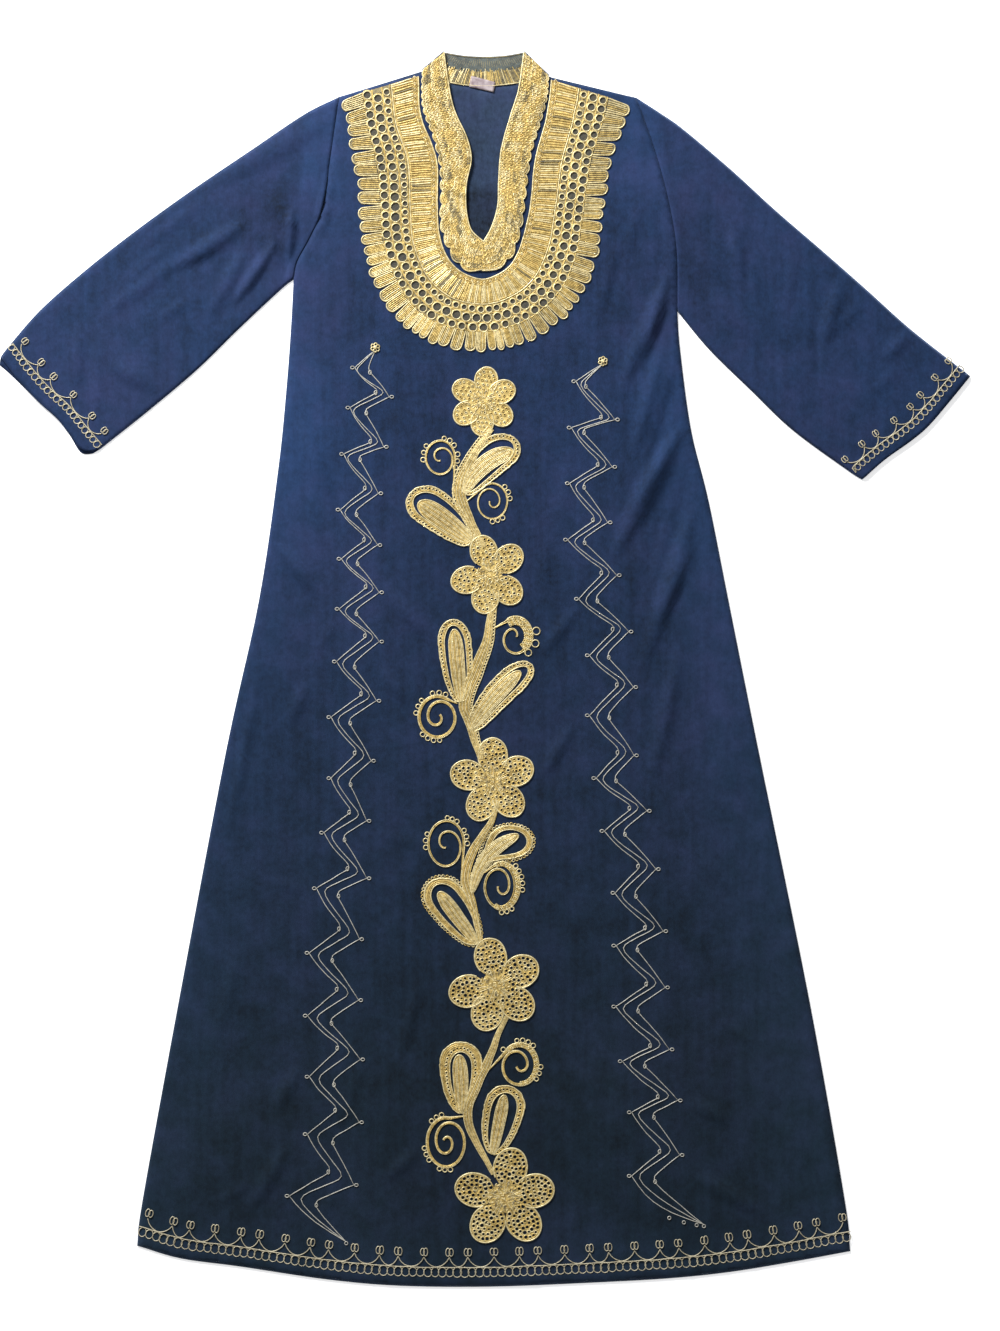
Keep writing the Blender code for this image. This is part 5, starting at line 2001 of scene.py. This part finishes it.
    def core(self, work: Work, core: Leaf) -> None:
        """Filled core of a leaf, from its root up to a round tip inside the slot.

        Args:
            work: piece that it belongs to.
            core: the core, as a smaller leaf.
        """
        edge = evenly(self.rim_line(core, 0.0), 2.6)
        work.bed(edge, (), 0.7, Tone.GOLD)
        work.cord(edge, 0.72, Tone.PALE, 0.3, stray=0.3)
        threads = max(4, round(core.width / 1.7))
        for thread in range(threads):
            off = 2 * (thread + 0.5) / threads - 1
            share = np.linspace(0.0, 0.97 - 0.12 * off ** 2, 12)
            half = self.half(share, core.width, core.pinch)
            tone = (Tone.PALE, Tone.PALE, Tone.GOLD)[thread % 3]
            work.cord(self.place(core, share, half * off * 0.9), 0.64, tone, 0.65, stray=0.6)

    @staticmethod
    def curl_place(curl: Curl, share: np.ndarray, out: np.ndarray) -> Points:
        """Places on a spiral.

        Args:
            curl: the spiral.
            share: shares of its length.
            out: distances outward from its middle line.

        Returns:
            Rows of x and y.
        """
        angle = math.radians(curl.start) + math.tau * curl.turns * share
        whole = abs(curl.turns)
        turn, first = whole * share, min(0.75, whole - 0.9)
        second = (turn - first - 0.55) / (whole - first - 0.45)
        size = 1 - 0.5 * ease((turn - first) / 0.6) - 0.35 * ease(second)
        return np.column_stack([
            curl.x + (curl.wide * size + out) * np.cos(angle),
            curl.y + (curl.tall * size + out) * np.sin(angle),
        ])

    def curl(self, work: Work, curl: Curl) -> None:
        """One spiral of cords, wider and filled with lace at its crest, and groups of small loops on it.

        Args:
            work: piece that it belongs to.
            curl: the spiral.
        """
        share = np.linspace(0, 1, round(abs(curl.turns) * 30))
        crest = np.sin(math.pi * np.clip(share / self.crest_end, 0, 1)) ** 0.65
        width = curl.cord * (1.05 - 0.25 * share) + curl.crest * crest
        lead = np.array((curl.from_x, curl.from_y))
        plies = [(1.0, Tone.PALE, 0.2), (-1.0, Tone.GOLD, 0.2)]
        if curl.cord > self.middle_from:
            plies.append((0.0, Tone.GOLD, 0.35))
        sides = [self.curl_place(curl, share, (width / 2 - 0.6).clip(0.3) * place) for place, _, _ in plies]
        for spots, (_, tone, lift) in zip(sides, plies):
            start = lead + (spots[0] - lead) * np.linspace(0, 0.8, 3)[:, None]
            line = smooth(np.vstack([start, spots]), 2)
            work.cord(line, 0.64, tone, lift, taper=np.linspace(1.1, 0.95, len(line)), stray=0.15)
        if curl.crest:
            wide = share < self.crest_end
            # Bed in painted shade under the lace of the crest
            work.bed(np.vstack([sides[0][wide], sides[1][wide][::-1]]), (), 0.5)
            for inset in np.arange(2.0, curl.crest + curl.cord - 1.6, 2.3):
                line = self.curl_place(curl, share[wide], (width / 2 - inset)[wide])
                for index, spot in enumerate(evenly(line, 2.7)[1:-1]):
                    work.loop(*spot, 1.1, 0.58, MIXED[index % 2], 0.45, 8, index)
        step = 2.5 * curl.picot / (math.tau * curl.tall)
        for middle, count in curl.loops:
            for index in range(count):
                turn = middle + (index - (count - 1) / 2) * step * (1 + 0.2 * chance(curl.y, middle))
                size = curl.picot * (1 + 0.16 * chance(index, curl.x, middle))
                reached = np.array([turn / abs(curl.turns)])
                out = np.interp(reached, share, width) / 2 + size - 0.6
                work.loop(*self.curl_place(curl, reached, out)[0], size, 0.64, Tone.PALE, 0.1, 11)


@dataclass
class Zigzag:
    """Three thin cords in a zigzag down the front, with tiny loops at their turns."""

    name: str
    head: Spot
    tail: Spot
    west: Sequence[Spot]
    east: Sequence[Spot]
    plies: Sequence[Ply]
    lay: Lay
    finishes: Finishes
    tail_loops: Sequence[Spot] = ()
    cord: float = 0.52
    loop: float = 1.8
    turn_in: float = 2.5
    steps: int = 8
    soft: int = 2
    head_loops: int = 6
    head_ring: float = 3.3

    def made(self) -> bpy.types.Object:
        """Cords and loops of the zigzag."""
        work = Work(self.name + "_cords", self.lay, self.finishes)
        for ply in self.plies:
            self.run(work, ply)
        for spot in round_line(*self.head, self.head_ring, self.head_loops, 0.4):
            work.loop(*spot, 1.8, 0.7, Tone.PALE, 0.4, 8)
        work.loop(*self.head, 1.2, 1.0, Tone.PALE, 1.0, 8)
        for spot in array((*self.tail_loops, self.tail)):
            self.eyelet(work, spot + (1.0, -2.0), 1.0, 1.0)
        return work.made()

    def eyelet(self, work: Work, spot: Points, wide: float, tall: float) -> None:
        """Tiny loop of the cord, with factors on its usual width and height."""
        ring = round_line(0.0, 0.0, self.loop, 10) * np.array((wide, tall))
        work.cord(spot + ring, self.cord, Tone.COOL, 0.2, True, stray=0.15)

    def corners(self, ply: Ply) -> tuple[list[Points], list[int]]:
        """Turns of one cord.

        Args:
            ply: the cord.

        Returns:
            Its start, its turns and its end, and the numbers of those that are sharp tips.
        """
        corners, tips = [np.array(self.head, float) + (0, -3)], []
        for index, left in enumerate(self.west):
            share = index / (len(self.west) - 1)
            west_in, east_in, west_up, east_up = (
                np.interp(share, (0, 0.3, 1), measure) for measure in ply[:4]
            )
            turns = [(ply.west, left.x + self.turn_in + west_in, left.y + west_up)]
            if index < len(self.east):
                right = self.east[index]
                turns.append((ply.east, right.x - self.turn_in - east_in, right.y + east_up))
            for inside, x, y in turns:
                if not any(inside):
                    tips.append(len(corners))
                corners.append(np.array((x, y)))
        corners.append(np.array(self.tail, float))
        return corners, tips

    def run(self, work: Work, ply: Ply) -> None:
        """One cord of the three, with the loops at its turns.

        Args:
            work: piece that it belongs to.
            ply: the cord.
        """
        corners, tips = self.corners(ply)
        t = np.linspace(0, 1, self.steps + 1)[:-1, None]
        spots = []
        for index, (start, end) in enumerate(zip(corners, corners[1:])):
            way = one_long(end - start)
            bow = ply.sag if end[0] > start[0] else 0.25 * abs(ply.sag)
            if index == len(corners) - 2:
                bow = ply.tail_sag
            side = np.array((way[1], -way[0]))
            spots.append(start + (end - start) * t + side * bow * np.sin(math.pi * t ** 0.8))
        line = np.vstack([*spots, corners[-1][None]])
        sharp = np.array(tips, int) * self.steps
        kept = line[sharp].copy()
        for _ in range(self.soft):
            line[1:-1] = (line[:-2] + 2 * line[1:-1] + line[2:]) / 4
            line[sharp] = kept
        work.cord(line, self.cord, Tone.COOL, 0.0, stray=0.5)
        if not tips:
            return
        at_tip, between = ((2.6, 0.0), (0.9, -2.0)) if any(ply.west) else ((-2.6, 0.0), (-1.6, -1.8))
        for index in range(1, len(corners) - 1):
            if index in tips:
                self.eyelet(work, line[index * self.steps] + at_tip, 1.15, 0.9)
            else:
                self.eyelet(work, line[index * self.steps] + between, 0.85, 1.25)


@dataclass
class Border:
    """Row of loops along a hem, with swags and knots of two loops above it."""

    name: str
    edge: Points
    lay: Lay
    finishes: Finishes
    knots: int = 31
    set_back: float = 16.5
    loop: float = 5.3
    pitch: float = 8.1
    knot_rise: float = 22.0
    knot: float = 3.6
    ends: tuple[float, float] = (4.0, 4.0)
    cord: float = 0.55
    wide: float = 50.0
    clear: float = 4.5

    def made(self) -> bpy.types.Object:
        """Cords of the border."""
        work = Work(self.name, self.lay, self.finishes)
        base = evenly(beside(evenly(self.edge, 6.0), self.set_back), 3.0)
        base = np.vstack([base[0] + one_long(base[0] - base[1]) * self.ends[0], base,
                          base[-1] + one_long(base[-1] - base[-2]) * self.ends[1]])
        strip = Strip(beside(base, -0.4 * self.wide), beside(base, 0.6 * self.wide))
        self.row(work, strip)
        number = np.arange(self.knots)
        places = (number + 0.12 * np.sin(number * 2.1) + 0.25) / (self.knots - 0.5)
        places = places.clip(self.clear / strip.length, 1 - self.clear / strip.length)
        foot = self.share(self.knot_rise - self.knot * 1.55)
        low = self.share(self.loop + 0.6)
        share = np.linspace(0, 1, 13)
        dip = (1 - (2 * share - 1) ** 2) ** 0.8
        for start, end in zip(places, places[1:]):
            line = strip.at(start + (end - start) * share, foot + (low - foot) * dip)
            work.cord(line, self.cord, Tone.THIN, 0.3, stray=0.6)
        for place in places:
            self.tie(work, strip, place)
        return work.made()

    def share(self, out: float) -> float:
        """Share of the strip's width for a distance from the middle of the loops."""
        return 0.4 + out / self.wide

    def row(self, work: Work, strip: Strip) -> None:
        """Touching oval loops with a cord along their upper side.

        Args:
            work: piece that they belong to.
            strip: band that the border lies in.
        """
        count = round((strip.length - 2 * self.loop) / self.pitch)
        angle = np.linspace(0, math.tau, 13)[:-1]
        for index in range(count + 1):
            size = self.loop * (0.92 + 0.16 * chance(index, self.pitch))
            middle = (self.loop + (strip.length - 2 * self.loop) * index / count) / strip.length
            along = middle + size * 0.86 * np.sin(angle) / strip.length
            line = strip.at(np.clip(along, 0, 1), self.share(0) + size * np.cos(angle) / self.wide)
            work.cord(line, self.cord, Tone.THIN, 0.1 + 0.3 * (index % 2), True, stray=0.4)
        work.cord(strip.line(self.share(self.loop), 4.0), self.cord, Tone.THIN, 0.5, stray=0.5)

    def tie(self, work: Work, strip: Strip, place: float) -> None:
        """Knot of two loops where two swags meet.

        Args:
            work: piece that it belongs to.
            strip: band that the border lies in.
            place: share of its length.
        """
        spot, above = strip.at(place, [self.share(self.knot_rise), self.share(self.knot_rise + 5)])
        out = one_long(above - spot)
        sideways = np.array((out[1], -out[0]))
        turns = np.linspace(0, math.tau, 11)[:-1]
        for side in (-1, 1):
            shape = (np.outer(np.cos(turns) * self.knot * 0.66, sideways)
                     + np.outer(np.sin(turns) * self.knot * (1.1 + 0.2 * chance(place, side)), out))
            work.cord(spot + sideways * side * self.knot * 0.5 + shape, self.cord, Tone.THIN,
                      0.2 + 0.3 * (side > 0), True, stray=0.4)


@dataclass
class Label:
    """Blank tape at the back of the neck."""

    lay: Lay
    finishes: Finishes
    thick: float = 0.6
    low: float = 1.5
    arch: float = 0.5
    rows: int = 12
    columns: int = 6

    def made(self) -> bpy.types.Object:
        """Small tape, a little curved."""
        corners = array(LABEL_CORNERS)
        strip = Strip(smooth(corners[[0, 1]]), smooth(corners[[3, 2]]))
        along, across = grid_shares(self.rows, self.columns)
        height = self.low + self.thick + self.arch * np.sin(math.pi * along) * across
        points = self.lay.placed(np.column_stack([strip.at(along, across), height]))
        piece = mesh_piece("label", points, grid_faces(self.rows, self.columns), [self.finishes.label])
        thicken(piece, self.thick * 0.8)
        return piece


@dataclass(frozen=True)
class Studio:
    """Pale floor, soft light from the upper left, and a camera straight above."""

    picture: tuple[float, float] = (1000.0, 1331.0)
    pixel: float = 1.1
    zero: tuple[float, float] = (485.5, 669.0)
    height: float = 2.6
    sensor: float = 36.0
    floor_size: float = 9.0
    floor_drop: float = 0.0002

    def floor(self) -> None:
        """Level pale floor just under the caftan."""
        bpy.ops.mesh.primitive_plane_add(size=self.floor_size, location=(0, 0, -self.floor_drop))
        floor = bpy.context.view_layer.objects.active
        floor.name = "floor"
        shader = Shader("floor_white")
        shader.dress(Base_Color=(0.9, 0.9, 0.9, 1.0), Roughness=0.9, Emission_Color=(1.0, 1.0, 1.0, 1.0),
                     Emission_Strength=0.5, Specular_IOR_Level=0.1)
        floor.data.materials.append(shader.material)

    def lamp(self, name: str, place: Sequence[float], aim: Sequence[float], size: float, power: float,
             colour: Sequence[float]) -> None:
        """Square soft lamp.

        Args:
            name: its name.
            place: where it is.
            aim: the point that it faces.
            size: its width in metres.
            power: its power in watts.
            colour: its colour.
        """
        light = bpy.data.lights.new(name, "AREA")
        light.size = size
        light.energy = power
        light.color = colour
        lamp = bpy.data.objects.new(name, light)
        lamp.location = place
        lamp.rotation_euler = (Vector(aim) - Vector(place)).to_track_quat("-Z", "Y").to_euler()
        bpy.context.scene.collection.objects.link(lamp)

    def camera(self, lay: Lay) -> None:
        """Camera over the middle of the picture.

        Args:
            lay: how the caftan lies in the frame.
        """
        x, y = self.picture[0] / 2 - self.zero[0], self.zero[1] - self.picture[1] / 2
        spot = lay.placed([(x * self.pixel, y * self.pixel, 0.0)])[0]
        camera = bpy.data.cameras.new("above")
        camera.sensor_width = self.sensor
        camera.lens = self.sensor * self.height / (self.picture[1] * self.pixel * MM)
        eye = bpy.data.objects.new("above", camera)
        eye.location = (spot[0], spot[1], self.height)
        bpy.context.scene.collection.objects.link(eye)
        bpy.context.scene.camera = eye

    def made(self, lay: Lay) -> None:
        """Floor, lamps, surroundings and camera.

        Args:
            lay: how the caftan lies in the frame.
        """
        self.floor()
        self.lamp("window", (-1.30, 2.40, 1.55), (0.0, 0.20, 0.0), 0.8, 172.0, (0.95, 0.97, 1.0))
        self.lamp("ceiling", (0.3, 0.3, 2.9), (0.0, 0.0, 0.0), 2.5, 16.0, (1.0, 0.98, 0.95))
        world = bpy.data.worlds.new("surroundings")
        world.use_nodes = True
        background = world.node_tree.nodes["Background"]
        background.inputs[0].default_value = (0.92, 0.95, 1.0, 1.0)
        background.inputs[1].default_value = 0.22
        bpy.context.scene.world = world
        bpy.context.scene.view_settings.view_transform = "Standard"
        self.camera(lay)


def main() -> None:
    """Dress every solid of the caftan and set up the picture."""
    logging.basicConfig(level=logging.INFO, format="%(message)s")
    noise.seed_set(STRAY_SEED)
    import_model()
    label_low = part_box("neck_label")[0]
    lay = Lay(np.array((label_low.x, label_low.y)) / MM - array(LABEL_CORNERS).min(0))
    bpy.ops.object.select_all(action="DESELECT")
    finishes = Finishes.made()

    body = Body(lay, finishes)
    front = dressed(body.front(), "front_panel")
    back = dressed(body.back(), "back_panel")
    left = SleeveTube("left_arm", LEFT_ARMHOLE, LEFT_OVER, LEFT_UNDER, LEFT_CUFF, 8.0, lay, finishes)
    right = SleeveTube("right_arm", RIGHT_ARMHOLE, RIGHT_OVER, RIGHT_UNDER, RIGHT_CUFF, 0.0, lay, finishes)
    left_arm = dressed(left.made(), "left_sleeve")
    right_arm = dressed(right.made(), "right_sleeve")

    collar = Collar(lay, finishes)
    band = dressed(collar.band_cloth(), "collar")
    band_stitching = dressed(collar.stitching(), "collar")
    label = dressed(Label(lay, finishes).made(), "neck_label")

    yoke = Yoke(lay, finishes)
    works = [
        dressed(yoke.braid(), "yoke_braid"),
        dressed(yoke.rings(), "yoke_rings"),
        dressed(yoke.fan(), "yoke_fan"),
    ]
    works += [dressed(Flower(bloom, lay, finishes).made(), bloom.name) for bloom in FLOWERS]
    works += [dressed(Spray(sprig, lay, finishes).made(), sprig.name) for sprig in SPRAYS]
    for zigzag in (
        Zigzag("zigzag_left", Spot(-121, 353), Spot(-154, -629), LEFT_ZIGZAG_WEST, LEFT_ZIGZAG_EAST,
               LEFT_PLIES, lay, finishes),
        Zigzag("zigzag_right", Spot(129, 338), Spot(239, -610), RIGHT_ZIGZAG_WEST, RIGHT_ZIGZAG_EAST,
               RIGHT_PLIES, lay, finishes, table(Spot, (201, -601), (217, -606), (231, -609))),
    ):
        works.append(dressed(zigzag.made(), zigzag.name))
    hem, left_line, right_line = (smooth(array(line), 6) for line in (HEM, LEFT_CUFF[:-1], RIGHT_CUFF))
    works.append(dressed(Border("hem_cords", hem, lay, finishes).made(), "hem_border"))
    left_cuff = Border("left_cuff_cords", left_line, lay, finishes, 6, 16.0, 3.7, 6.8, 16.0, 3.0, (4.0, 8.0))
    right_cuff = Border("right_cuff_cords", right_line[::-1], lay, finishes,
                        8, 13.5, 3.7, 6.8, 16.0, 2.8, (0.0, 2.0))
    cuffs = [dressed(left_cuff.made(), "cuff_border_left"), dressed(right_cuff.made(), "cuff_border_right")]

    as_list(cuffs[:1])
    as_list(cuffs[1:])

    Studio().made(lay)


if __name__ == "__main__":
    main()
